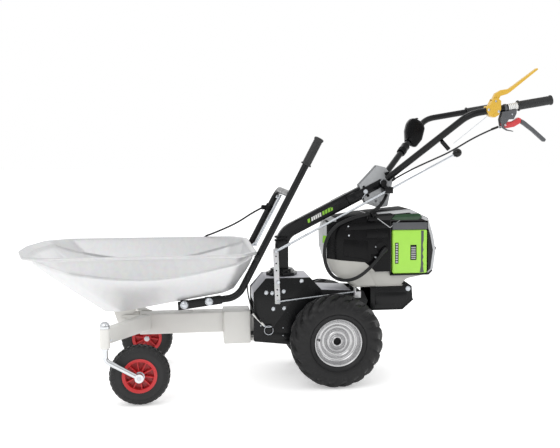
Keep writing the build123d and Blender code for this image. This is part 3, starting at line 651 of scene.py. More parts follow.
class BARROW_OT_stage(bpy.types.Operator):
    """Camera, floor, white surroundings and soft lights"""
    bl_idname = "barrow.stage"
    bl_label = "Studio"

    def execute(self, context):
        studio = context.scene.barrow_studio
        camera = bpy.data.objects.new("camera", bpy.data.cameras.new("camera"))
        context.scene.collection.objects.link(camera)
        camera.data.lens = studio.lens
        camera.data.shift_x, camera.data.shift_y = LENS_SHIFT
        camera.data.clip_end = 100
        level = cos(studio.dip)
        gaze = Vector((sin(studio.yaw) * level, cos(studio.yaw) * level, -sin(studio.dip)))
        camera.location = studio.eye
        camera.rotation_euler = gaze.to_track_quat("-Z", "Y").to_euler()
        context.scene.camera = camera
        start()
        bpy.ops.mesh.primitive_plane_add(size=FLOOR_WIDE, location=(0, 0, FLOOR_Z))
        floor = context.object
        floor.name = "floor"
        floor.data.materials.append(studio_floor())
        context.scene.world = self.surroundings(studio.backdrop)
        context.scene.view_settings.view_transform = "Standard"
        for name, place, size, power in LIGHTS:
            light = bpy.data.objects.new(name, bpy.data.lights.new(name, "AREA"))
            context.scene.collection.objects.link(light)
            light.data.shape = "DISK"
            light.data.size = size
            light.data.energy = getattr(studio, power)
            light.location = place
            light.rotation_euler = (Vector(AIM) - Vector(place)).to_track_quat("-Z", "Y").to_euler()
        return {"FINISHED"}

    def surroundings(self, strength):
        """White surroundings: plain to the camera, and dimmer to the barrow from the near side and below."""
        world = bpy.data.worlds.new("studio")
        world.use_nodes = True
        tree = world.node_tree
        tree.nodes.clear()
        place = add(tree, "ShaderNodeTexCoord")
        facing = add(tree, "ShaderNodeVectorMath", {0: place.outputs["Generated"], 1: BRIGHT_WALLS},
                     operation="DOT_PRODUCT")
        level = add(tree, "ShaderNodeMapRange", {
            "Value": facing.outputs["Value"], "From Min": WALLS_FROM, "From Max": WALLS_TO,
            "To Min": strength * DIM_WALLS, "To Max": strength})
        seen = add(tree, "ShaderNodeLightPath")
        plain = add(tree, "ShaderNodeMath", {0: level.outputs["Result"], 1: seen.outputs["Is Camera Ray"]},
                    operation="MAXIMUM")
        light = add(tree, "ShaderNodeBackground", {"Color": (1, 1, 1, 1), "Strength": plain.outputs["Value"]})
        add(tree, "ShaderNodeOutputWorld", {"Surface": light.outputs["Background"]})
        return world


# ---------------------------------------------------------------- tray
# corners of the tray's rim and floor before rounding, in X and Y; the floor's from its own middle
RIM_CORNERS = [(-954.4, -75), (-914, -252), (-832, -316), (-176, -316), (-122, -232),
               (-122, 232), (-176, 316), (-832, 316), (-914, 252), (-954.4, 75)]
FLOOR_CORNERS = [(-228, -55), (-222, -140), (-165, -203), (206, -203), (243, -150),
                 (243, 150), (206, 203), (-165, 203), (-222, 140), (-228, 55)]
FLOOR_MIDDLE = (-436, 331)         # X and Z, as for the rail and the lever below
FLOOR_SLOPE = radians(9.1)
RIM_Z = 508
RIM_ROUND, FLOOR_ROUND = 45, 24
CORNER_STEPS, EDGE_RUNS = 6, 4
BEAD_R = 6
FLANGE = ((5, BEAD_R - 0.6), (9, BEAD_R - 1.5), (12, 3))     # steps in from the edge, and their height
CREASE_LEAST, CREASE_MOST = 0.05, 0.43   # share of the wall above the crease, at the ends and added midway
CREASE_FROM, CREASE_RUN = 0.08, 0.90     # where along the tray the crease drops, as shares of its length
HIGH_WALL = (0.3, 0.7, 0.93, 0.99)       # shares of the wall down to its crease, and from there to the floor
STEP_SHARE = 0.07                        # the low wall's step outwards
LOW_WALL = (0.01, STEP_SHARE, STEP_SHARE + 0.02, 0.2, 0.34, 0.48, 0.62, 0.76, 0.88, 0.95, 0.985, 1.0)
FLOOR_SHARES = (0.06, 0.35, 0.7)         # rings of the floor, towards its middle
SWELL_MM = 13
STEP_SWELL = 0.75                        # the step's share of the whole swell
BELLY_END, TUCK_FROM = 0.6, 0.3          # shares of the low wall
RAIL_R = 12.5
RAIL_Y = 200
RAIL_FRONT = (-393, 322.8)
LEVER_FOOT = (-184, 346)
LEVER_TOP = (114.3, 917)


def lever_line(z, y=-RAIL_Y):
    """A point on the tipping lever's straight stretch at height z."""
    share = (z - LEVER_FOOT[1]) / (LEVER_TOP[1] - LEVER_FOOT[1])
    return Vector((LEVER_FOOT[0] + share * (LEVER_TOP[0] - LEVER_FOOT[0]), y, z))


def tray_rings():
    """Rings of the pressed tray from its rolled edge, over the flange and down the walls to the floor."""
    rim = rounded(RIM_CORNERS, RIM_ROUND, CORNER_STEPS, EDGE_RUNS)
    low = rounded(FLOOR_CORNERS, FLOOR_ROUND, CORNER_STEPS, EDGE_RUNS)
    lean = (cos(FLOOR_SLOPE), sin(FLOOR_SLOPE))
    floor = [Vector((FLOOR_MIDDLE[0] + x * lean[0], y, FLOOR_MIDDLE[1] + x * lean[1] + 1)) for x, y in low]
    count = len(rim)
    outward = []
    for place in range(count):
        along = rim[(place + 1) % count] - rim[place - 1]
        outward.append(Vector((along.y, -along.x)).normalized())
    rings = []
    for degree in range(-190, 91, 28):
        a = radians(degree)
        rings.append([(p.x + n.x * BEAD_R * cos(a), p.y + n.y * BEAD_R * cos(a), RIM_Z + BEAD_R * sin(a))
                      for p, n in zip(rim, outward)])
    for back, rise in FLANGE:
        rings.append([(p.x - n.x * back, p.y - n.y * back, RIM_Z + rise) for p, n in zip(rim, outward)])
    top = [Vector(point) for point in rings[-1]]
    front, rear = RIM_CORNERS[0][0], RIM_CORNERS[4][0]

    def wall(share_of):
        """A ring of the wall, where share_of gives the share of its height from the crease's own."""
        ring = []
        for p, q, n in zip(top, floor, outward):
            along = min(1.0, max(0.0, ((p.x - front) / (rear - front) - CREASE_FROM) / CREASE_RUN))
            crease = CREASE_LEAST + CREASE_MOST * sin(pi * along) ** 0.6
            share = share_of(crease)
            beyond = (share - crease) / (1 - crease)
            if beyond <= 0:
                swell = 0.0
            elif beyond < STEP_SHARE:
                swell = STEP_SWELL * beyond / STEP_SHARE
            else:
                belly = (1 - STEP_SWELL) * sin(pi * min(1.0, beyond / BELLY_END))
                tuck = max(0.0, (beyond - TUCK_FROM) / (1 - TUCK_FROM)) ** 2
                swell = STEP_SWELL * (1 - tuck) + belly
            here = p.lerp(q, share)
            ring.append((here.x + n.x * SWELL_MM * swell, here.y + n.y * SWELL_MM * swell, here.z))
        return ring

    rings += [wall(lambda crease, part=part: crease * part) for part in HIGH_WALL]
    rings += [wall(lambda crease, part=part: crease + (1 - crease) * part) for part in LOW_WALL]
    middle = sum(floor, Vector()) / count
    for share in FLOOR_SHARES:
        rings.append([tuple(point.lerp(middle, share)) for point in floor])
    return rings


class BARROW_OT_tray(bpy.types.Operator):
    """Pressed galvanised tray with its rolled edge"""
    bl_idname = "barrow.tray"
    bl_label = "Tray"

    def execute(self, context):
        rings = tray_rings()
        tray = skin("tray", rings, caps=False)
        pick(tray)
        bpy.ops.object.mode_set(mode="EDIT")
        bpy.ops.mesh.select_all(action="DESELECT")
        bpy.ops.object.mode_set(mode="OBJECT")
        count = len(rings[0])
        for vertex in tray.data.vertices[-count:]:
            vertex.select = True
        # marks the lower walls for the finish's painted bounce light
        drawn = tray.data.attributes.new("drawn", "FLOAT", "POINT")
        first_low = count * (len(rings) - len(LOW_WALL) - len(FLOOR_SHARES))
        for vertex in tray.data.vertices:
            drawn.data[vertex.index].value = 1.0 if vertex.index >= first_low else 0.0
        bpy.ops.object.mode_set(mode="EDIT")
        bpy.ops.mesh.select_mode(type="VERT")
        bpy.ops.mesh.edge_face_add()
        face_outwards()
        modify(tray, "SUBSURF", levels=1, render_levels=1)
        modify(tray, "SOLIDIFY", thickness=context.scene.barrow_sizes.sheet, offset=0)
        piece(tray, "tray_shell", galvanised_sheet, "tray", ["tub"], smooth=50)
        return {"FINISHED"}


class BARROW_OT_tray_frame(bpy.types.Operator):
    """Rail plugs, dome bolts, spacers, brace, stay and grip of the tipping lever"""
    bl_idname = "barrow.tray_frame"
    bl_label = "Tray frame"

    def execute(self, context):
        domes, spacers, plugs, flats = [], [], [], []
        for side in SIDES.values():
            for x, z in ((-375, 324.8), (-287.5, 334.5)):
                face = (x, side * (RAIL_Y + RAIL_R), z)
                domes.append(turn([(2, 0), (2, 14), (3.6, 14), (4, 13), (6.4, 11.4), (8.4, 7.6), (9.2, 4),
                                   (9.4, 0)], face, ACROSS * side, 32))
                spacers.append(block((x - 14, side * RAIL_Y - 11, z + 9),
                                     (x + 14, side * RAIL_Y + 11, z + 14.5), 1))
            along = Vector((LEVER_FOOT[0] - RAIL_FRONT[0], 0, LEVER_FOOT[1] - RAIL_FRONT[1]))
            flats.append(slab([(-396, 306), (-398, 337), (-250, 357), (-236, 352), (-240, 326)],
                              span(side, RAIL_Y + 11.5, RAIL_Y + 14.6), 1.2))
            plugs.append(turn([(0, 0), (0, 11), (-1, 12.3), (-2.5, 12.3), (-4, 10), (-4.4, 0)],
                              (RAIL_FRONT[0], side * RAIL_Y, RAIL_FRONT[1]), along, 32))
        piece(merge(domes), "tray_dome_bolts", bright_zinc, "tray", ["tray_bolts"])
        piece(merge(spacers), "rail_spacers", black_abs, "tray")
        piece(merge(plugs), "rail_plugs", black_abs, "tray")
        piece(merge(flats), "rail_flats", black_powder_coat, "tray")
        self.stays()
        self.grip(context)
        self.bracket()
        return {"FINISHED"}

    def stays(self):
        """Flat brace with its bolts, thin stay and its clamp."""
        brace = slab([(-110, 512), (-99, 512), (-1, 701), (-9, 705)], (-9, 9), 1.2)
        tab = block((-121, -14, 508.5), (-98, 14, 512), 0.8)
        bolts = [bar((-107, 0, 511), (-112, 0, 517), 6), bar((-14, 0, 692), (-22, 0, 697), 6)]
        clamp_at = lever_line(641, RAIL_Y)
        along = lever_line(LEVER_TOP[1]) - lever_line(LEVER_FOOT[1])
        stay = hose([clamp_at + Vector((-22, 14, 0)), clamp_at + Vector((-60, 20, -18)), (-160, 255, 572),
                     (-262, 306, 524), (-283, 313, 518), (-285, 314, 512)], 3.6)
        hook = turn([(-1.5, 6), (0, 7.5), (1.5, 6), (0, 4.5)], (-285, 314, 512), (0, 1, 0.2), 20, ring=True)
        piece(merge([brace, tab, *bolts, hook]), "tray_brace", bright_zinc, "tray",
              ["tray_stays"])
        piece(stay, "tray_stay", black_powder_coat, "tray")
        shell = turn([(-12, 12.7), (-12, 16), (-10, 17), (10, 17), (12, 16), (12, 12.7)], clamp_at, along, 32,
                     ring=True)
        ears = block((clamp_at.x - 32, RAIL_Y - 7, 632), (clamp_at.x - 14, RAIL_Y + 7, 650), 2)
        ball = turn([(-11, 0), (-11, 7), (-8, 9), (8, 9), (11, 7), (11, 0)],
                    clamp_at + Vector((-24, 12, 0)), ACROSS, 24)
        piece(merge([shell, ears, ball]), "stay_clamp", black_abs, "tray")

    def grip(self, context):
        """Rubber grip of the tipping lever: collar, ribbed body and rounded end."""
        foot = lever_line(820)
        along = lever_line(LEVER_TOP[1]) - foot
        shape = grip_profile(along.length, context.scene.barrow_sizes.grip_rib / MM, 15.2)
        piece(turn(shape, foot, along, 40),
              "lever_grip_sleeve", grip_rubber, "tray", ["lever_grip"], smooth=40)

    def bracket(self):
        """Hinge plates under the tray's nose, with their foot plate and weld runs."""
        outline = [(-640, 294), (-622, 238), (-611, 226), (-583, 226), (-573, 238), (-541, 309)]
        parts = [slab(outline, span(side, 22, 29), 1.2) for side in SIDES.values()]
        parts.append(slab([(-645, 292), (-645, 295.5), (-536, 312), (-536, 308.5)], (-62, 62), 1))
        parts += [hose([(-636, side * 30.5, 292), (-590, side * 31, 299), (-545, side * 30.5, 306)], 2.4)
                  for side in SIDES.values()]
        parts += [turn([(-2, 0), (-2, 12), (0, 13), (2, 12), (2, 0)],
                       (pivot("tray_tilt").x, side * 30.2, pivot("tray_tilt").z), ACROSS, 32)
                  for side in SIDES.values()]
        piece(merge(parts), "tray_hinge_bracket", cream_enamel, "tray", ["tray_bracket"])


def grip_profile(long, pitch, radius):
    """A grip's outline: thick collar, low ribs along the body, flared rounded end."""
    shape = [(0, 12.6), (0, radius + 3.4), (1.5, radius + 4.2), (4.5, radius + 4.2), (7, radius + 0.8)]
    along = 10.0
    while along < long - 18:
        shape += [(along, radius), (along + pitch * 0.25, radius + 0.9), (along + pitch * 0.65, radius + 0.9)]
        along += pitch
    shape += [(long - 14, radius), (long - 9, radius + 2.4), (long - 5, radius + 3), (long - 2, radius + 1.6),
              (long, radius - 3), (long, 0)]
    return shape


# ---------------------------------------------------------------- carrier
class BARROW_OT_carrier(bpy.types.Operator):
    """Beam with its hinge ears, front arms with their sleeves, hitch box and weld runs"""
    bl_idname = "barrow.carrier"
    bl_label = "Carrier frame"

    def execute(self, context):
        self.pins()
        hinge = pivot("tray_tilt")
        parts = [block((-541, -40, 186), (-228, 40, 262), 5, 3)]
        ear = [(-543, 206), (hinge.x - 2, 222), (hinge.x - 15, 233), (hinge.x - 17, 246), (hinge.x - 10, 258),
               (hinge.x, 262), (-543, 262)]
        parts += [slab(ear, span(side, 31, 38), 1.2) for side in SIDES.values()]
        parts += [hose([(-541, side * 40, 208), (-542, side * 42, 234), (-541, side * 40, 260)], 3)
                  for side in SIDES.values()]
        piece(merge(parts), "carrier_beam_shell", cream_enamel, "chassis", ["carrier_beam"])
        for name, side in SIDES.items():
            self.arm(name, side)
        self.hitch()
        return {"FINISHED"}

    def arm(self, name, side):
        kingpin = pivot("caster_swivel_" + name)
        inner = [(-541, side * 40, 204), (-497, side * 40, 204), (-497, side * 40, 262),
                 (-541, side * 40, 262)]
        outer = [(-656, side * 336, 222), (-622, side * 336, 222), (-622, side * 336, 276),
                 (-656, side * 336, 276)]
        tube = soften(skin("arm", [inner, outer]), 5, 3)
        sleeve = turn([(-34, 9.3), (-34, 15.5), (-32.5, 17), (32.5, 17), (34, 15.5), (34, 9.3)],
                      (kingpin.x, kingpin.y, 244), (0, 0, 1), 48, ring=True)
        seam = [(kingpin.x - 16, side * 335, 226), (kingpin.x - 16.5, side * 335, 250),
                (kingpin.x - 16, side * 335, 275), (kingpin.x + 2, side * 333.5, 277),
                (kingpin.x + 16, side * 335, 275), (kingpin.x + 16.5, side * 335, 250),
                (kingpin.x + 16, side * 335, 226)]
        weld = hose(seam, 2.6)
        toe = hose([(-541, side * 40, 206), (-543, side * 43, 234), (-541, side * 40, 261),
                    (-518, side * 42, 263), (-497, side * 40, 261)], 2.8)
        nipple = merge([bar((kingpin.x + 16, kingpin.y, 236), (kingpin.x + 22, kingpin.y, 238), 3),
                        bar((kingpin.x + 21, kingpin.y, 238), (kingpin.x + 25, kingpin.y, 239), 2)])
        piece(merge([tube, sleeve, weld, toe]), "arm_shell_" + name, cream_enamel, "chassis",
              ["front_arm_" + name])
        piece(nipple, "grease_nipple_" + name, bright_zinc, "chassis")

    def hitch(self):
        box_part = block((-228, -60, 144), (-128, 60, 267), 4, 3)
        tongue = slab([(-130, 150), (-42, 165), (-42, 232), (-130, 240)], (-32, 32), 2.5)
        seams = [hose([(-128, side * 33, 152), (-126, side * 35, 195), (-128, side * 33, 238)], 3)
                 for side in SIDES.values()]
        beam_seam = hose([(-228, -41, 188), (-229, -43, 224), (-228, -41, 261), (-229, 0, 264),
                          (-228, 41, 261), (-229, 43, 224), (-228, 41, 188)], 3)
        foot = block((-126, -40, 148), (-104, 40, 162), 2)
        piece(merge([box_part, tongue, beam_seam, foot, *seams]), "hitch_box_shell", cream_enamel, "chassis",
              ["hitch_box"])
        pegs = [block((-127, side * 44 - 5, 172), (-103, side * 44 + 5, 186), 1.5) for side in SIDES.values()]
        pegs.append(bar((-110, 0, 144), (-110, 0, 160), 9))
        piece(merge(pegs), "hitch_pegs", black_powder_coat, "chassis")

    def pins(self):
        """The tray's plated hinge pin and the black hitch pin."""
        front, rear = loose_parts(edged("cross_pins", 1.2), lambda obj: obj.bound_box[0][0])
        piece(front, "tray_hinge_pin", cream_enamel, "chassis", ["cross_pins"])
        piece(rear, "hitch_pin", black_powder_coat, "chassis")


# ---------------------------------------------------------------- wheels
LUG_SWING = 0.62                   # how far a bar turns round the tyre for each unit of its path, in radians
LUG_HALF, LUG_FLARE = 7.5, 3.2     # half its width at the middle line, and what it gains to the shoulder
SHOULDER_FROM, SHOULDER_Y = 45, 57.8
SHOULDER_LEAN = 0.5 / 13           # how far its top leans out for each millimetre past the shoulder's start


def lug(side, wheel, crown, height, lead):
    """One slanted bar of a drive tyre, from near the middle line down over the shoulder."""
    stations = []
    path = [(2, crown, 0.0, 1.0), (16, crown - 0.6, 0.16, 1.0), (32, crown - 2.5, 0.31, 1.0),
            (44, crown - 7, 0.42, 0.95), (52, crown - 15, 0.50, 0.85), (56.5, crown - 28, 0.55, 0.55),
            (57.4, crown - 42, 0.58, 0.15)]
    for out, radius, swing, share in path:
        wide = LUG_HALF + LUG_FLARE * (out / 58)
        crest = radius + height * share
        lean = max(0, out - SHOULDER_FROM) * SHOULDER_LEAN
        corners = ((wide + 2.5, radius - 3, 0), (wide - 0.8, crest, lean), (0.8 - wide, crest, lean),
                   (-wide - 2.5, radius - 3, 0))
        stations.append([round_axle(wheel, reach, lead + swing * LUG_SWING + half / reach,
                                    side * min(out + shift, SHOULDER_Y)) for half, reach, shift in corners])
    return soften(skin("lug", stations), 1.1, 1)


class BARROW_OT_drive_wheels(bpy.types.Operator):
    """Lug tyres on pressed silver rims"""
    bl_idname = "barrow.drive_wheels"
    bl_label = "Drive wheels"

    def execute(self, context):
        sizes = context.scene.barrow_sizes
        for name, side in SIDES.items():
            self.tyre(name, pivot("drive_spin_" + name), sizes)
            self.rim(name, side, pivot("drive_spin_" + name))
        return {"FINISHED"}

    def tyre(self, name, wheel, sizes):
        height = sizes.lug_height / MM
        crown = wheel.z - height
        section = [(-42, 86), (-47, 89), (-53, 98), (-57, 112), (-57.5, 126), (-55, 139), (-49, 149),
                   (-38, 155.5), (-20, 158.4), (0, crown), (20, 158.4), (38, 155.5), (49, 149), (55, 139),
                   (57.5, 126), (57, 112), (53, 98), (47, 89), (42, 86)]
        parts = [turn(section, wheel, ACROSS, 96)]
        for ridge in (104, 118):
            parts += [turn([(side * 55.2, ridge - 1.6), (side * 57.6, ridge), (side * 55.2, ridge + 1.6)],
                           wheel, ACROSS, 96) for side in SIDES.values()]
        for side, lead in ((-1, 0.0), (1, pi / sizes.lug_pairs)):
            parts.append(repeat(lug(side, wheel, crown, height, lead), round_about(wheel, sizes.lug_pairs)))
        piece(merge(parts), "lug_tyre_" + name, tread_rubber, "drive_wheel_" + name,
              ["drive_tyre_" + name], smooth=38)

    def rim(self, name, side, wheel):
        """Flange, bead seat, drop, stepped dish and hub, in order from the outside."""
        outline = [(41, 84), (45, 86.5), (47, 88), (49, 87), (49.5, 85), (47, 82), (42, 79.5), (36, 77.5),
                   (28, 76), (21, 74), (19, 71), (20, 68), (19, 64), (13, 60), (9, 55), (8, 50), (10, 46),
                   (17, 42.5), (22, 39), (23.5, 35), (22, 31), (15, 28), (13, 25), (15, 21.5), (22, 19),
                   (23.5, 16), (22, 13.2), (16, 13.0), (-44, 13.0), (-44, 21), (6, 22), (8, 40), (4, 50),
                   (6, 60), (14, 68), (14, 73), (-34, 75), (-44, 82), (-48, 86), (-46, 88), (-42, 84),
                   (-36, 79), (30, 79)]
        dish = turn(outline, wheel, ACROSS * side, 72, ring=True)
        # painted shade: a closed black cup in the hub's mouth makes its hole read dark and hides the axle's bright
        # end
        shade_cup = turn([(15.6, 0), (16.2, 10.6), (17.5, 11.6), (23.4, 11.9), (23.4, 13.3), (15.3, 13.3),
                     (15.1, 0)], wheel, ACROSS * side, 40)
        piece(shade_cup, "hub_well_" + name, black_abs, "drive_wheel_" + name)
        piece(dish, "drive_rim_shell_" + name, silver_enamel, "drive_wheel_" + name,
              ["drive_rim_" + name], smooth=40)
        valve = hose([wheel + Vector((-66, side * 16, 8)), wheel + Vector((-67, side * 26, 8)),
                      wheel + Vector((-70, side * 36, 8))], 3.2)
        piece(valve, "valve_stem_" + name, grip_rubber, "drive_wheel_" + name)


# rows of tread blocks: the place across the tyre and the radius of both ends, and the row's shift in blocks
BLOCK_ROWS = ((((-26, 93.5), (-13, 99.0)), 0.0), (((-10, 100.4), (10, 100.4)), 0.5),
              (((13, 99.0), (26, 93.5)), 0.0))
SHOULDER_ENDS = ((26.5, 96.5), (30.6, 85))
BLOCK_SHARE, SHOULDER_SHARE = 0.62, 0.5     # a block's share of its pitch


class BARROW_OT_casters(bpy.types.Operator):
    """Caster wheels: block-tread tyres on ribbed red wheels, with the washers and nuts of their axles"""
    bl_idname = "barrow.casters"
    bl_label = "Casters"

    def execute(self, context):
        sizes = context.scene.barrow_sizes
        for name, side in SIDES.items():
            wheel = pivot("caster_spin_" + name)
            self.tyre(name, wheel, sizes.caster_blocks)
            self.wheel(name, wheel, sizes.spokes)
            self.fork(name, side, wheel)
        return {"FINISHED"}

    def tyre(self, name, wheel, blocks):
        section = [(-24, 57), (-28, 60), (-31.5, 68), (-32, 78), (-30, 88), (-25, 96), (-14, 99.6),
                   (0, 100.4), (14, 99.6), (25, 96), (30, 88), (32, 78), (31.5, 68), (28, 60), (24, 57)]
        parts = [turn(section, wheel, ACROSS, 96)]
        half = pi / blocks * BLOCK_SHARE
        corners = ((-half, -3), (-half * 0.9, 3.4), (half * 0.9, 3.4), (half, -3))
        for ends, offset in BLOCK_ROWS:
            lead = offset * 2 * pi / blocks
            stations = [[round_axle(wheel, reach + rise, lead + a, out) for a, rise in corners]
                        for out, reach in ends]
            parts.append(repeat(skin("block", stations), round_about(wheel, blocks)))
        half = pi / blocks * SHOULDER_SHARE
        corners = ((-half, -3), (-half, 1.9), (half, 1.9), (half, -3))
        for side in SIDES.values():
            stations = [[round_axle(wheel, reach, a, side * (out + rise)) for a, rise in corners]
                        for out, reach in SHOULDER_ENDS]
            parts.append(repeat(skin("shoulder", stations), round_about(wheel, blocks)))
        piece(merge(parts), "caster_tread_" + name, caster_rubber, "caster_wheel_" + name,
              ["caster_tyre_" + name], smooth=35)

    def wheel(self, name, wheel, spokes):
        barrel = turn([(25, 60.5), (27.5, 59.5), (27.5, 57), (25, 52.5), (24, 48.5), (20, 47.5), (-20, 47.5),
                       (-24, 48.5), (-25, 52.5), (-27.5, 57), (-27.5, 59.5), (-25, 60.5), (-20, 57),
                       (20, 57)], wheel, ACROSS, 64, ring=True)
        disc = turn([(-3, 14), (-3, 49), (3, 49), (3, 14)], wheel, ACROSS, 64, ring=True)
        hub = turn([(31, 6.3), (31, 13.5), (29, 15.5), (12, 17), (-12, 17), (-29, 15.5), (-31, 13.5),
                    (-31, 6.3)], wheel, ACROSS, 48, ring=True)
        rib = slab([(wheel.x + 14, wheel.z - 2.4), (wheel.x + 49, wheel.z - 1.6),
                    (wheel.x + 49, wheel.z + 1.6), (wheel.x + 14, wheel.z + 2.4)],
                   (wheel.y - 22, wheel.y + 22), 0.8)
        ribs = repeat(rib, round_about(wheel, spokes, first=0.16))
        piece(merge([barrel, disc, hub, ribs]), "caster_wheel_shell_" + name, red_polypropylene,
              "caster_wheel_" + name, ["caster_rim_" + name])

    def fork(self, name, side, wheel):
        washer = turn([(33.6, 6.5), (33.6, 17.5), (35.2, 17.5), (35.2, 6.5)], wheel, ACROSS * side, 36,
                      ring=True)
        nut = turn([(-42.5, 0), (-42.5, 7), (-41, 11.4), (-36, 11.4), (-35.2, 11)], wheel, ACROSS * side, 6)
        end = turn([(60.2, 0), (60.2, 8), (61.4, 7), (61.8, 0)], wheel, ACROSS * side, 32)
        piece(merge([washer, nut, end]), "caster_washers_" + name, bright_zinc, "caster_" + name)


# ---------------------------------------------------------------- drive unit
PLATE_FACE = 90                    # how far the side plates' outer faces are from the middle
GEARBOX_FACE = 61.5
COVER_BOLTS = 8


class BARROW_OT_drive_unit(bpy.types.Operator):
    """Side plates, deck, gearbox, rear bracket and their bolts"""
    bl_idname = "barrow.drive_unit"
    bl_label = "Drive unit"

    def execute(self, context):
        for name in SIDES:
            round_edges("side_plate_" + name, 1.2, "side_plate_shell_" + name, black_powder_coat, "chassis")
        round_edges("deck_cover", 0.8, "deck_sheet", deck_enamel, "chassis")
        self.bracket()
        self.gearbox()
        self.bolts()
        return {"FINISHED"}

    def bracket(self):
        """Folded box behind the gearbox, with its raised side panels and folded lips."""
        box_part = edged("motor_bracket", 2.0, 3)
        panels = [slab([(345, 284), (452, 284), (470, 300), (468, 330), (345, 330)],
                       span(side, 95, 97.5), 1.5) for side in SIDES.values()]
        lips = [slab([(326, 262.5), (452, 262.5), (495, 300), (495, 304), (450, 268), (326, 268)],
                     span(side, 93, 98), 1) for side in SIDES.values()]
        piece(merge([box_part, *panels, *lips]), "motor_bracket_shell", black_powder_coat, "chassis",
              ["motor_bracket"])

    def gearbox(self):
        """Cast case with ribs, cover bolts and a filler plug."""
        case = edged("gearbox_housing", 3, 3)
        axle = pivot("drive_spin_left")
        ribs = [turn([(side * 40, 60), (side * 40, 76), (side * 43, 76), (side * 43, 60)],
                     (axle.x, 0, axle.z), ACROSS, 64, ring=True) for side in SIDES.values()]
        fins = [block((x, -42, 176), (x + 4, 42, 322), 1) for x in range(96, 160, 16)]
        piece(merge([case, *ribs, *fins]), "gearbox_case", painted_casting, "chassis",
              ["gearbox_housing"])
        heads = []
        for side in SIDES.values():
            for place in range(COVER_BOLTS):
                a = 2 * pi * place / COVER_BOLTS + 0.3
                heads.append(hex_head((axle.x + 64 * cos(a), side * GEARBOX_FACE, axle.z + 64 * sin(a)),
                                      ACROSS * side, 10, 5))
        heads.append(hex_head((60, 0, 130), (0, 0, -1), 17, 8, 12))
        piece(merge(heads), "gearbox_bolts", bright_zinc, "chassis")

    def bolts(self):
        """Flanged bolts and small studs of the side plates, bolts of the bracket, and the crank's stud."""
        heads = []
        for side in SIDES.values():
            for x, z in ((-71, 340), (-48, 338), (-5, 343), (-44, 278), (-3, 279), (63, 381)):
                heads.append(hex_head((x, side * PLATE_FACE, z), ACROSS * side, 10, 6, 7.6))
            heads.append(hex_head((474, side * 96.2, 343), ACROSS * side, 13, 6, 9.5))
            for x, z, r in ((-92, 216, 3), (-8, 205, 2.6), (-8, 176, 2.6)):
                heads.append(turn([(0, 0), (0, r), (1.6, r * 0.8), (2.2, 0)], (x, side * PLATE_FACE, z),
                                  ACROSS * side, 20))
        stud = pivot("shift_rock")
        heads.append(bar((stud.x, -90, stud.z), (stud.x, -102, stud.z), 5))
        heads.append(hex_head((stud.x, -101.6, stud.z), -ACROSS, 13, 4))
        piece(merge(heads), "flange_bolts", bright_zinc, "chassis", ["chassis_bolts"])


# ---------------------------------------------------------------- column
COLUMN_FOOT = (-3, 550)            # X and Z of the bend in its middle line
COLUMN_SLOPE = radians(27)
COLUMN_FACE = -19                  # Y of its left face
CHEEK_FACE = 28.4                  # how far the lock cheeks' outer faces are from the middle
LOCK_BOLT = (320.9, 712.8)


def up_column(along, across):
    """X and Z of a point on the column's sloping stretch, in mm from its corner and its middle line."""
    return (COLUMN_FOOT[0] + along * cos(COLUMN_SLOPE) - across * sin(COLUMN_SLOPE),
            COLUMN_FOOT[1] + along * sin(COLUMN_SLOPE) + across * cos(COLUMN_SLOPE))


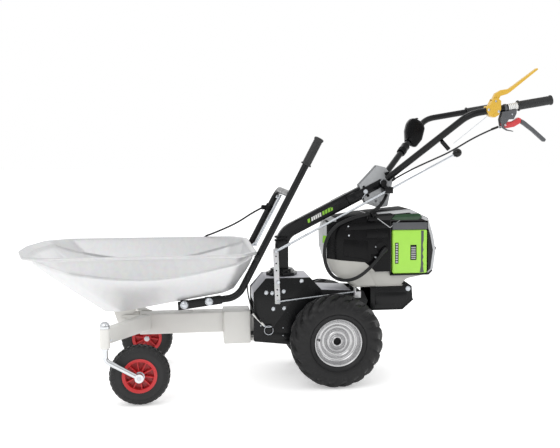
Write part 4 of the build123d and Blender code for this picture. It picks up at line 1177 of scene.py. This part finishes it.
class BARROW_OT_column(bpy.types.Operator):
    """Column with its stepped base, seams, stripes and fork, its bolts, lock cheeks and rod guides"""
    bl_idname = "barrow.column"
    bl_label = "Column"

    def execute(self, context):
        round_edges("column_base", 1.6, "column_base_shell", black_powder_coat, "chassis")
        seams = []
        for side in SIDES.values():
            seams.append(slab([up_column(*at) for at in ((215, 4), (300, 4), (300, 25), (230, 25))],
                              span(side, 18.4, 20.6), 0.8))
        piece(merge(seams), "column_seams", black_powder_coat, "chassis")
        self.fork()
        self.stripes()
        self.bolts()
        round_edges("sector_plate", 0.7, "sector_cheeks", sector_enamel, "handlebar")
        self.guides()
        return {"FINISHED"}

    def guides(self):
        """Black eye on the pivot bolt, and the plated tab that holds the selector rod."""
        tab, *eye = loose_parts(edged("rod_guides", 1.0), lambda obj: obj.bound_box[6][2])
        piece(merge(eye), "rod_eye", black_powder_coat, "chassis", ["rod_guides"])
        piece(tab, "selector_tab", galvanised_sheet, "chassis")

    def fork(self):
        """Black straps of the column outside the lock cheeks, stepped out from the tube."""
        shapes = ((((292, -15), (436, -15), (441, 0), (436, 15), (292, 15)), (25.7, 28.2), 0.8),
                  (((286, -17), (322, -17), (322, 17), (286, 17)), (18.5, 28.6), 1.5))
        straps = [slab([up_column(*at) for at in shape], span(side, *faces), edge)
                  for side in SIDES.values() for shape, faces, edge in shapes]
        piece(merge(straps), "column_fork", black_powder_coat, "chassis")

    def stripes(self):
        """Plain slanted stripes along the column's left face: white, then green."""
        white = [self.stripe(along, 6.5) for along in range(125, 169, 9)]
        green = [self.stripe(along, 9) for along in range(173, 221, 12)] + [self.stripe(109, 10)]
        piece(merge(white), "column_stripes_white", white_label, "chassis")
        piece(merge(green), "column_stripes_green", green_label, "chassis")

    def stripe(self, along, wide):
        corners = ((along, -7), (along + wide, -7), (along + wide + 5, 7), (along + 5, 7))
        return slab([up_column(*at) for at in corners], (COLUMN_FACE - 0.5, COLUMN_FACE + 1), 0)

    def bolts(self):
        """Pivot bolt, lock bolt with its small spring lever, and washers."""
        parts = []
        hub = pivot("handle_height")
        for (x, z), radius, across in (((hub.x, hub.z), 7, 19), (LOCK_BOLT, 5, 15)):
            parts.append(bar((x, -CHEEK_FACE - 1, z), (x, CHEEK_FACE + 1, z), radius))
            for side in SIDES.values():
                parts.append(hex_head((x, side * CHEEK_FACE, z), ACROSS * side, across, 6, across * 0.62))
        spring = [(LOCK_BOLT[0] + x, y, LOCK_BOLT[1] + z)
                  for x, y, z in ((4, -32, 2), (-6, -34, -14), (-14, -32, -26))]
        parts.append(hose(spring, 1.6))
        piece(merge(parts), "pivot_and_lock_bolts", bright_zinc, "chassis", ["pivot_bolts"])
        ties = [turn([(-3, 25), (-3, 27.5), (3, 27.5), (3, 25)], (-3, 0, z), (0, 0, 1), 32, ring=True)
                for z in (528, 541)]
        piece(merge(ties), "column_ties", black_abs, "chassis")


# ---------------------------------------------------------------- power head
# outline in X and Z of the whole body, from which every cover is cut
HEAD = [(150, 500), (148, 560), (160, 600), (200, 616), (300, 632), (480, 648), (556, 612), (575, 548),
        (586, 490), (576, 412), (560, 396), (470, 380), (445, 351), (274, 351), (250, 366), (196, 395),
        (168, 445)]
HEAD_HALF = 92
# what narrows the body towards its nose: cut away on both sides, in X and Y
NOSE_CHEEK = [(130, 48), (150, 50), (164, 62), (190, 79), (215, 92.2), (215, 140), (130, 140)]
BATTERY_ROOM = ((407, -120, 399), (553, 64, 603))
POCKET_WALLS = (((405, -86, 397.5), (407, 66, 604.5)), ((553, -86, 397.5), (555, 66, 604.5)),
                ((405, -86, 397.5), (555, 66, 399)), ((405, -86, 603), (555, 66, 604.5)),
                ((405, 64, 397.5), (555, 66, 604.5)))


def inset(outline, distance):
    """An outline drawn clockwise in X and Z, moved inwards by an even distance in mm."""
    moved = []
    count = len(outline)
    for place in range(count):
        before, here, after = (Vector(outline[(place + shift) % count]) for shift in (-1, 0, 1))
        back, on = (here - before).normalized(), (after - here).normalized()
        normal = (Vector((back.y, -back.x)) + Vector((on.y, -on.x))).normalized()
        moved.append(here + normal * distance / max(0.5, normal.dot(Vector((on.y, -on.x)))))
    return [(point.x, point.y) for point in moved]


def cover(zone, y=(-HEAD_HALF, HEAD_HALF), shrink=0.0, rounding=13, edge=1.0):
    """The stretch of the power head's rounded body that lies inside a zone in X and Z."""
    body = slab(inset(HEAD, shrink) if shrink else HEAD, y, rounding, 4)
    for side in SIDES.values():
        combine(body, skin("cheek", [[(x, side * y, z) for x, y in NOSE_CHEEK] for z in (300, 720)]),
                "DIFFERENCE")
    combine(body, slab(zone, (-130, 130), 0), "INTERSECT")
    return soften(body, edge, 2) if edge else body


class BARROW_OT_power_head(bpy.types.Operator):
    """Covers of the power head, battery bay, screws, badge and window"""
    bl_idname = "barrow.power_head"
    bl_label = "Power head"

    def execute(self, context):
        self.front_and_shroud()
        self.housing()
        self.top_and_bay()
        return {"FINISHED"}

    def front_and_shroud(self):
        nose = cover([(130, 440), (163, 461), (163, 604), (196, 604), (196, 700), (130, 700)])
        piece(nose, "head_nose", pale_grey_abs, "chassis", ["motor_front_shell"])
        outline = ((148.5, -48), (150.5, -51), (163, -61.8), (162, -60), (150, -46))
        badge = skin("badge", [[(*at, z) for at in outline] for z in (520, 548)])
        piece(badge, "nose_badge", green_label, "chassis")
        low = [(130, 330), (620, 330), (620, 396), (404, 396), (404, 410), (346, 410), (325, 431), (305, 447),
               (163, 461), (130, 439)]
        shroud = cover(low)
        for side in SIDES.values():
            waist = slab([(319, 414), (350, 352), (356, 330), (620, 330), (620, 412), (400, 412)],
                         span(side, 82, 100), 0)
            combine(shroud, waist, "DIFFERENCE")
        lip = slab([(262, 351.5), (452, 351.5), (458, 357), (254, 357)], (-86, 86), 2)
        piece(merge([shroud, lip]), "head_shroud", warm_grey_abs, "chassis", ["motor_shroud"])

    def housing(self):
        """Black side housing: ledge, raised panels, round bosses, vents and screws."""
        zone = [(163, 461), (305, 447), (325, 431), (346, 410), (404, 410), (404, 606), (312, 606),
                (163, 604)]
        parts = [cover(zone, rounding=9)]
        panels = (([(226, 568), (398, 576), (398, 600), (234, 597)], 96, 3),
                  ([(312, 538), (396, 540), (396, 568), (312, 566)], 94.5, 2),
                  ([(222, 473), (296, 460), (318, 450), (318, 528), (222, 537)], 93.5, 2))
        for side in SIDES.values():
            parts += [slab(outline, span(side, 90, face), edge, 3) for outline, face, edge in panels]
            parts.append(turn([(88, 0), (92, 26), (95, 26), (97, 22), (97, 19), (95.5, 16), (95.5, 0)],
                              (368, 0, 502), ACROSS * side, 48))
            parts += [block((x, side * 93.5 - 2, 452), (x + 2.4, side * 93.5 + 2, 478), 0.6)
                      for x in range(330, 360, 5)]
            parts.append(turn([(90, 0), (90, 9), (94.5, 9), (95.5, 7.5), (95.5, 5), (94, 4.4), (94, 0)],
                              (243, 0, 551), ACROSS * side, 32))
        piece(merge(parts), "head_housing", black_abs, "chassis", ["motor_housing"])
        screws = []
        for side in SIDES.values():
            for x, z, y in ((243, 551, 94), (347, 506, 95.4), (346, 466, 94), (240, 586, 95.6)):
                screws.append(turn([(0, 0), (0, 3.4), (1.2, 3.1), (1.8, 2), (1.4, 1.4), (0.9, 0)],
                                   (x, side * y, z), ACROSS * side, 20))
        piece(merge(screws), "head_screws", bright_zinc, "chassis")

    def top_and_bay(self):
        """Black top cover and lid, pale outer frame round the black bay, tinted window and cable gland."""
        top = cover([(196.6, 604.6), (312, 606), (312, 700), (196.6, 700)])
        piece(top, "head_top_cover", grained_abs, "chassis", ["motor_top_cover"])
        rear = [(312, 606), (404, 606), (404, 396), (620, 396), (620, 700), (312, 700)]
        frame_part = cover(rear, y=(-90, HEAD_HALF), rounding=10, edge=0)
        combine(frame_part, block(*BATTERY_ROOM, 0), "DIFFERENCE")
        soften(frame_part, 1)
        piece(frame_part, "bay_outer_frame", pale_grey_abs, "chassis", ["battery_bay"])
        lid = cover([(316, 610), (562, 610), (562, 700), (316, 700)], y=(-84, 84), shrink=-0.8, rounding=6)
        piece(lid, "bay_lid", grained_abs, "chassis")
        face = cover(rear, y=(-HEAD_HALF, -60), shrink=12, rounding=4, edge=0)
        combine(face, block(*BATTERY_ROOM, 0), "DIFFERENCE")
        soften(face, 1.2, 3)
        window_cut = [(408, 612), (424, 628), (516, 632), (528, 618), (512, 607), (424, 607)]
        rim = slab([(404, 607), (424, 606), (514, 606), (530, 618), (528, 620), (512, 609), (424, 609),
                    (406, 611)], (-94, -88), 0.8)
        pocket = merge([block(low, high, 0) for low, high in POCKET_WALLS])
        shoulder = slab([(312, 606), (404, 606), (420, 628), (404, 634), (312, 628)], (-94, -80), 2.5, 3)
        foot_lip = slab([(404, 394), (556, 394), (572, 410), (568, 412), (553, 399), (404, 399)],
                        (-94, -84), 1)
        ring = turn([(-5, 4.2), (-5, 9), (5, 9), (5, 4.2)], (581, -70, 494), ACROSS, 32, ring=True)
        boss = slab([(566, 480), (578, 486), (578, 502), (566, 508)], (-76, -64), 1.5)
        piece(merge([face, rim, pocket, shoulder, foot_lip, ring, boss]), "bay_face", gloss_abs, "chassis")
        piece(slab(window_cut, (-94.2, -88), 1), "bay_window", smoked_window, "chassis")
        # painted highlight: pale bars along the rim of the black housing panel stand in for the light caught on
        # its edge
        highlight_bars = merge([bar((352, -96, 615), (402, -96, 579), 1.6),
                       bar((402, -96, 579), (440, -96, 606), 1.2)])
        piece(highlight_bars, "housing_edge_trim", pale_grey_abs, "chassis")
        gland = merge([slab([(312, 606), (350, 606), (346, 622), (318, 624)], (-112, -84), 3, 3),
                       turn([(-10, 7.5), (-10, 10.5), (-8, 11.5), (4, 11.5), (10, 9), (10, 7.5)],
                            (334, -110, 634), (1, 0.1, 0.55), 32, ring=True)])
        piece(gland, "cable_gland", black_abs, "chassis")
        light = block((471, -30, 377), (515, 30, 383), 1.5)
        piece(light, "under_light", green_label, "chassis")


class BARROW_OT_battery(bpy.types.Operator):
    """Battery: green case with its zigzag groove, dark cap, charge strip and display panel"""
    bl_idname = "barrow.battery"
    bl_label = "Battery"

    def execute(self, context):
        case = slab([(412, 402), (548, 402), (548, 569.8), (412, 569.8)], (-100, 60), 7, 4)
        recesses = (((523, -102, 416), (531, -97.5, 566), 0.8), ((421, -102, 440), (435, -98.6, 521), 1),
                    ((481, -102, 453), (506, -98.6, 512), 1))
        for low, high, edge in recesses:
            combine(case, block(low, high, edge), "DIFFERENCE")
        ribs = [block((534, -100.8, z), (545, -98, z + 3), 0.7) for z in range(420, 564, 12)]
        piece(merge([case, *ribs]), "battery_shell", battery_polymer, "battery",
              ["battery_case"])
        cap = slab([(412, 570.2), (548, 570.2), (548, 595), (545, 598), (415, 598), (412, 595)],
                   (-100, 60), 3, 3)
        groove = slab([(523.4, 424), (530, 418), (533.4, 440), (528.4, 452), (533.4, 464), (528.4, 478),
                       (533.4, 492), (529, 510), (533.4, 528), (533.4, 565), (523.4, 565)],
                      (-100.3, -97), 0.3)
        latch = slab([(519, 405), (535, 405), (530, 436), (524, 436)], (-101.6, -97), 1)
        piece(merge([cap, groove, latch]), "battery_lid", charcoal_polymer, "battery",
              ["battery_cap"])
        panel = [block((421.4, -99.4, 440.4), (434.6, -98, 520.6), 0.4),
                 block((481.4, -99.6, 453.4), (505.6, -98, 511.6), 0.8)]
        piece(merge(panel), "battery_panels", gloss_abs, "battery")
        marks = [block((424, -99.9, 444 + 9.6 * row), (432, -99, 450 + 9.6 * row), 0.5) for row in range(8)]
        marks += [block((485, -100, z), (502, -99.2, z + 3.5), 0.4) for z in range(458, 507, 7)]
        piece(merge(marks), "battery_marks", pale_grey_abs, "battery")
        return {"FINISHED"}


# ---------------------------------------------------------------- handlebar
GRIP_END = Vector((957.8, 0, 1056.5))
HANDLE_BEND = Vector((646, 0, 1003))
HANDLE_Y = 290                     # how far both grips are from the middle
GRIP_LONG = 134
LABEL_BACK = 171                   # the label wrap's far end, as the next one from the grip's end
STRAP_BACK = 186


def up_grip(back, side=-1):
    """A point on the grip's axis, that far back from its end."""
    return GRIP_END - (GRIP_END - HANDLE_BEND).normalized() * back + ACROSS * side * HANDLE_Y


class BARROW_OT_handlebar(bpy.types.Operator):
    """Ribbed grips, label wrap, control pod, brackets, levers and their screws"""
    bl_idname = "barrow.handlebar"
    bl_label = "Handlebar"

    def execute(self, context):
        along = GRIP_END - HANDLE_BEND
        for name, side in SIDES.items():
            shape = grip_profile(GRIP_LONG, context.scene.barrow_sizes.grip_rib / MM, 15.4)
            piece(turn(shape, up_grip(GRIP_LONG, side), along, 40), "grip_sleeve_" + name, grip_rubber,
                  "handlebar", ["handle_grip_" + name], smooth=40)
        wrap = turn([(0, 12.4), (0, 12.9), (36, 12.9), (36, 12.4)], up_grip(LABEL_BACK), along, 48, ring=True)
        piece(wrap, "tube_label", white_label, "handlebar")
        bars = merge([turn([(at, 12.6), (at, 13.15), (at + 2, 13.15), (at + 2, 12.6)], up_grip(LABEL_BACK),
                           along, 48, ring=True) for at in range(4, 32, 7)])
        piece(bars, "tube_label_bars", sector_enamel, "handlebar")
        self.pod()
        self.levers()
        return {"FINISHED"}

    def pod(self):
        """Switch pod: rounded body, parting seam, rocker, boot of the lead with its rings."""
        body = slab([(536, 900), (534, 950), (542, 985), (560, 1004), (584, 1002), (606, 986), (619, 964),
                     (606, 915), (578, 880)], (184, 228), 12, 5)
        seam = slab([(540, 905), (538, 950), (546, 984), (562, 1002), (563, 1000), (548, 982), (541, 950),
                     (543, 906)], (183.4, 228.6), 0.5)
        start_at, end_at = Vector((404, 39, 764)), Vector((646, 290, 1003))
        boot = [turn([(0, 12.6), (0, 17), (6, 18.4), (10, 17), (14, 18.4), (18, 17), (22, 18.4), (26, 17),
                      (50, 18), (56, 12.6)], start_at.lerp(end_at, 0.40), end_at - start_at, 40, ring=True)]
        boot.append(turn([(0, 12.6), (0, 17), (14, 17), (16, 12.6)], start_at.lerp(end_at, 0.58),
                         end_at - start_at, 40, ring=True))
        piece(merge([body, seam, *boot]), "switch_pod", black_abs, "handlebar",
              ["control_box"])
        rocker = slab([(548, 990), (556, 998), (586, 1006), (592, 1001)], (196, 216), 2)
        piece(rocker, "pod_rocker", gloss_abs, "handlebar")

    def levers(self):
        bracket = edged("clutch_bracket", 1.2)
        combine(bracket, slab([(720, 1003.5), (850, 1025.8), (850, 1080), (720, 1080)], (-340, -240), 0),
                "DIFFERENCE")
        strap = turn([(0, 12.55), (0, 14.6), (9, 14.6), (9, 12.55)], up_grip(STRAP_BACK),
                     GRIP_END - HANDLE_BEND, 40, ring=True)
        piece(merge([bracket, strap]), "clutch_bracket_shell", crackle_grey, "handlebar",
              ["clutch_bracket"])
        round_edges("clutch_hub", 2.2, "clutch_hub_shell", red_enamel, "clutch_lever", 3)
        round_edges("clutch_blade", 2.6, "clutch_blade_shell", crackle_grey, "clutch_lever",
                    3)
        round_edges("safety_bracket", 1.2, "safety_clamp", yellow_enamel, "handlebar")
        round_edges("safety_lever", 1.4, "safety_blade", yellow_enamel, "safety_lever", 3)
        clutch, safety = pivot("clutch_squeeze"), pivot("safety_press")
        screws = (((clutch.x, -306.2, clutch.z), 7, 3, 0), ((safety.x, -307.2, safety.z), 7, 3, 0),
                  ((802, -304.2, 1003), 6, 2.4, 0), ((712, -307.2, 1018), 7, 3, 5),
                  ((750, -307.2, 1012), 7, 3, 5))
        heads = [hex_head(place, -ACROSS, across, high, flange) for place, across, high, flange in screws]
        piece(merge(heads), "lever_screws", bright_zinc, "handlebar")


# ---------------------------------------------------------------- shift and cables
CRANK_TOP, CRANK_FOOT = (-36, 507), (-29, 298)     # X and Z of its middle line
CRANK_HOLES = (478, 451, 424, 352, 330)
# places that the cables pass
CONTROL_CABLE = [(385, -104.5, 500), (328, -118, 432), (256, -121, 382), (184, -121, 388), (146, -120, 444),
                 (144, -120, 526), (180, -119, 588), (246, -116, 618), (326, -112, 636), (385, -66, 674),
                 (398, -50, 702)]
CLUTCH_CABLE = [(755, -290, 958), (690, -266, 930), (600, -208, 866), (545, -176, 838), (470, -112, 796),
                (424, -66, 762)]
LOCK_CABLE = [(-118, -219, 482), (-150, -219, 434), (-152, -214, 380), (-140, -176, 320), (-118, -120, 262),
              (-84, -98.5, 222)]


class BARROW_OT_shift(bpy.types.Operator):
    """Gear crank, polished knob and the rod's sleeve"""
    bl_idname = "barrow.shift"
    bl_label = "Gear shift"

    def execute(self, context):
        strip = edged("shift_crank", 0.7)
        top, foot = Vector(CRANK_TOP), Vector(CRANK_FOOT)
        for z in CRANK_HOLES:
            x = top.lerp(foot, (CRANK_TOP[1] - z) / (CRANK_TOP[1] - CRANK_FOOT[1])).x
            combine(strip, bar((x, -110, z), (x, -90, z), 3.2), "DIFFERENCE")
        piece(strip, "shift_crank_strip", galvanised_sheet, "shift_crank",
              ["shift_crank"])
        foot, top = Vector((-36, -107, 497)), Vector((668, -88, 863))
        along = (top - foot).normalized()
        knob = turn([(-19, 4.2), (-19, 7.5), (-15, 9.5), (-13, 13), (-9, 15.4), (0, 16.5), (7, 15),
                     (12, 11.4), (15.4, 6), (16.5, 0)], top, along, 48)
        piece(knob, "shift_ball", gloss_abs, "shift_rod", ["shift_knob"], smooth=60)
        sleeve = [bar(foot + along * 12, foot + along * 60, 5.2), hex_head(foot + Vector((0, -4, 0)), -ACROSS,
                                                                           10, 4)]
        piece(merge(sleeve), "shift_rod_end", bright_zinc, "shift_rod")
        return {"FINISHED"}


class BARROW_OT_cables(bpy.types.Operator):
    """Held cables with their end sleeves and ferrules, and the wire loop round the hitch pin"""
    bl_idname = "barrow.cables"
    bl_label = "Cables"

    def execute(self, context):
        main = [hose(CONTROL_CABLE, 6.5, sides=8),
                turn([(0, 6.4), (0, 9.5), (8, 10.5), (22, 8.4), (34, 6.9), (34, 6.4)], CONTROL_CABLE[0],
                     (-0.7, -0.14, -0.7), 32, ring=True)]
        piece(merge(main), "control_cable_jacket", cable_jacket, "chassis", ["control_cable"])
        clutch = [hose(CLUTCH_CABLE, 3, sides=6), bar(CLUTCH_CABLE[0], (731, -281, 948), 4.2),
                  bar((427, -67, 763.5), (418, -60, 757), 4.6), bar((424, -65, 762), (424, -60, 776), 4)]
        piece(merge(clutch), "clutch_cable_jacket", cable_jacket, "handlebar",
              ["clutch_cable"])
        lock = [hose(LOCK_CABLE, 2.5, sides=6), block((-125, -225, 479), (-109, -213, 497), 2)]
        piece(merge(lock), "lock_cable_jacket", cable_jacket, "chassis", ["lock_cable"])
        hitch, loop_r, steps = Vector((-63, -99, 199)), 17, 14
        turns = [0.9 + 2 * pi * step / steps for step in range(steps)]
        loop = hose([hitch + Vector((loop_r * cos(a), 0, loop_r * sin(a))) for a in turns], 1.4)
        sleeve = bar((-124, -112, 266), (-80, -98.5, 217), 4)
        piece(sleeve, "lock_cable_sleeve", white_label, "chassis")
        wire = [loop, bar((-84, -98.8, 221), (-78, -98.5, 215), 4.4),
                hose([(-80, -98.5, 217), (-76, -99, 208), (-52, -99, 212)], 1.3)]
        piece(merge(wire), "cable_ferrules", bright_zinc, "chassis")
        stop = [bar((752, -290, 957), (766, -290, 961), 2.4),
                hose([(712, -299, 998), (664, -268, 952), (606, -232, 898)], 1.2)]
        piece(merge(stop), "clutch_wire", bright_zinc, "handlebar")
        return {"FINISHED"}


class BARROW_OT_finishes(bpy.types.Operator):
    """Gives each frame part that still shows the finish of its material slot"""
    bl_idname = "barrow.finishes"
    bl_label = "Finishes"

    def execute(self, context):
        slots = {part["node"]: part["material_slot"] for part in frame["record"]["subparts"]}
        for name in frame["nodes"]:
            mesh = bpy.data.objects[name].data
            mesh.materials.clear()
            mesh.materials.append(SLOT_FINISH[slots[name]]())
        return {"FINISHED"}


# ---------------------------------------------------------------- registration
STEPS = (BARROW_OT_stage, BARROW_OT_cables, BARROW_OT_tray, BARROW_OT_tray_frame, BARROW_OT_carrier,
         BARROW_OT_drive_wheels, BARROW_OT_casters, BARROW_OT_drive_unit, BARROW_OT_column,
         BARROW_OT_power_head, BARROW_OT_battery, BARROW_OT_handlebar, BARROW_OT_shift, BARROW_OT_finishes)


class BARROW_PT_pieces(bpy.types.Panel):
    """Lists the barrow's sizes, colours and pieces"""
    bl_idname = "BARROW_PT_pieces"
    bl_label = "Power wheelbarrow"
    bl_space_type = "VIEW_3D"
    bl_region_type = "UI"
    bl_category = "Barrow"

    def draw(self, context):
        for group in (context.scene.barrow_sizes, context.scene.barrow_colours, context.scene.barrow_studio):
            column = self.layout.box().column()
            for key in group.bl_rna.properties.keys():
                if key not in ("rna_type", "name"):
                    column.prop(group, key)
        for step in STEPS:
            self.layout.operator(step.bl_idname)


CLASSES = (BarrowSizes, BarrowStudio, BarrowColours, *STEPS, BARROW_PT_pieces)


def register():
    for cls in CLASSES:
        bpy.utils.register_class(cls)
    bpy.types.Scene.barrow_sizes = bpy.props.PointerProperty(type=BarrowSizes)
    bpy.types.Scene.barrow_studio = bpy.props.PointerProperty(type=BarrowStudio)
    bpy.types.Scene.barrow_colours = bpy.props.PointerProperty(type=BarrowColours)


def unregister():
    del bpy.types.Scene.barrow_colours
    del bpy.types.Scene.barrow_studio
    del bpy.types.Scene.barrow_sizes
    for cls in reversed(CLASSES):
        bpy.utils.unregister_class(cls)


def main():
    register()
    for step in STEPS:
        group, action = step.bl_idname.split(".")
        getattr(getattr(bpy.ops, group), action)()
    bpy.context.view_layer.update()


if __name__ == "__main__":
    main()
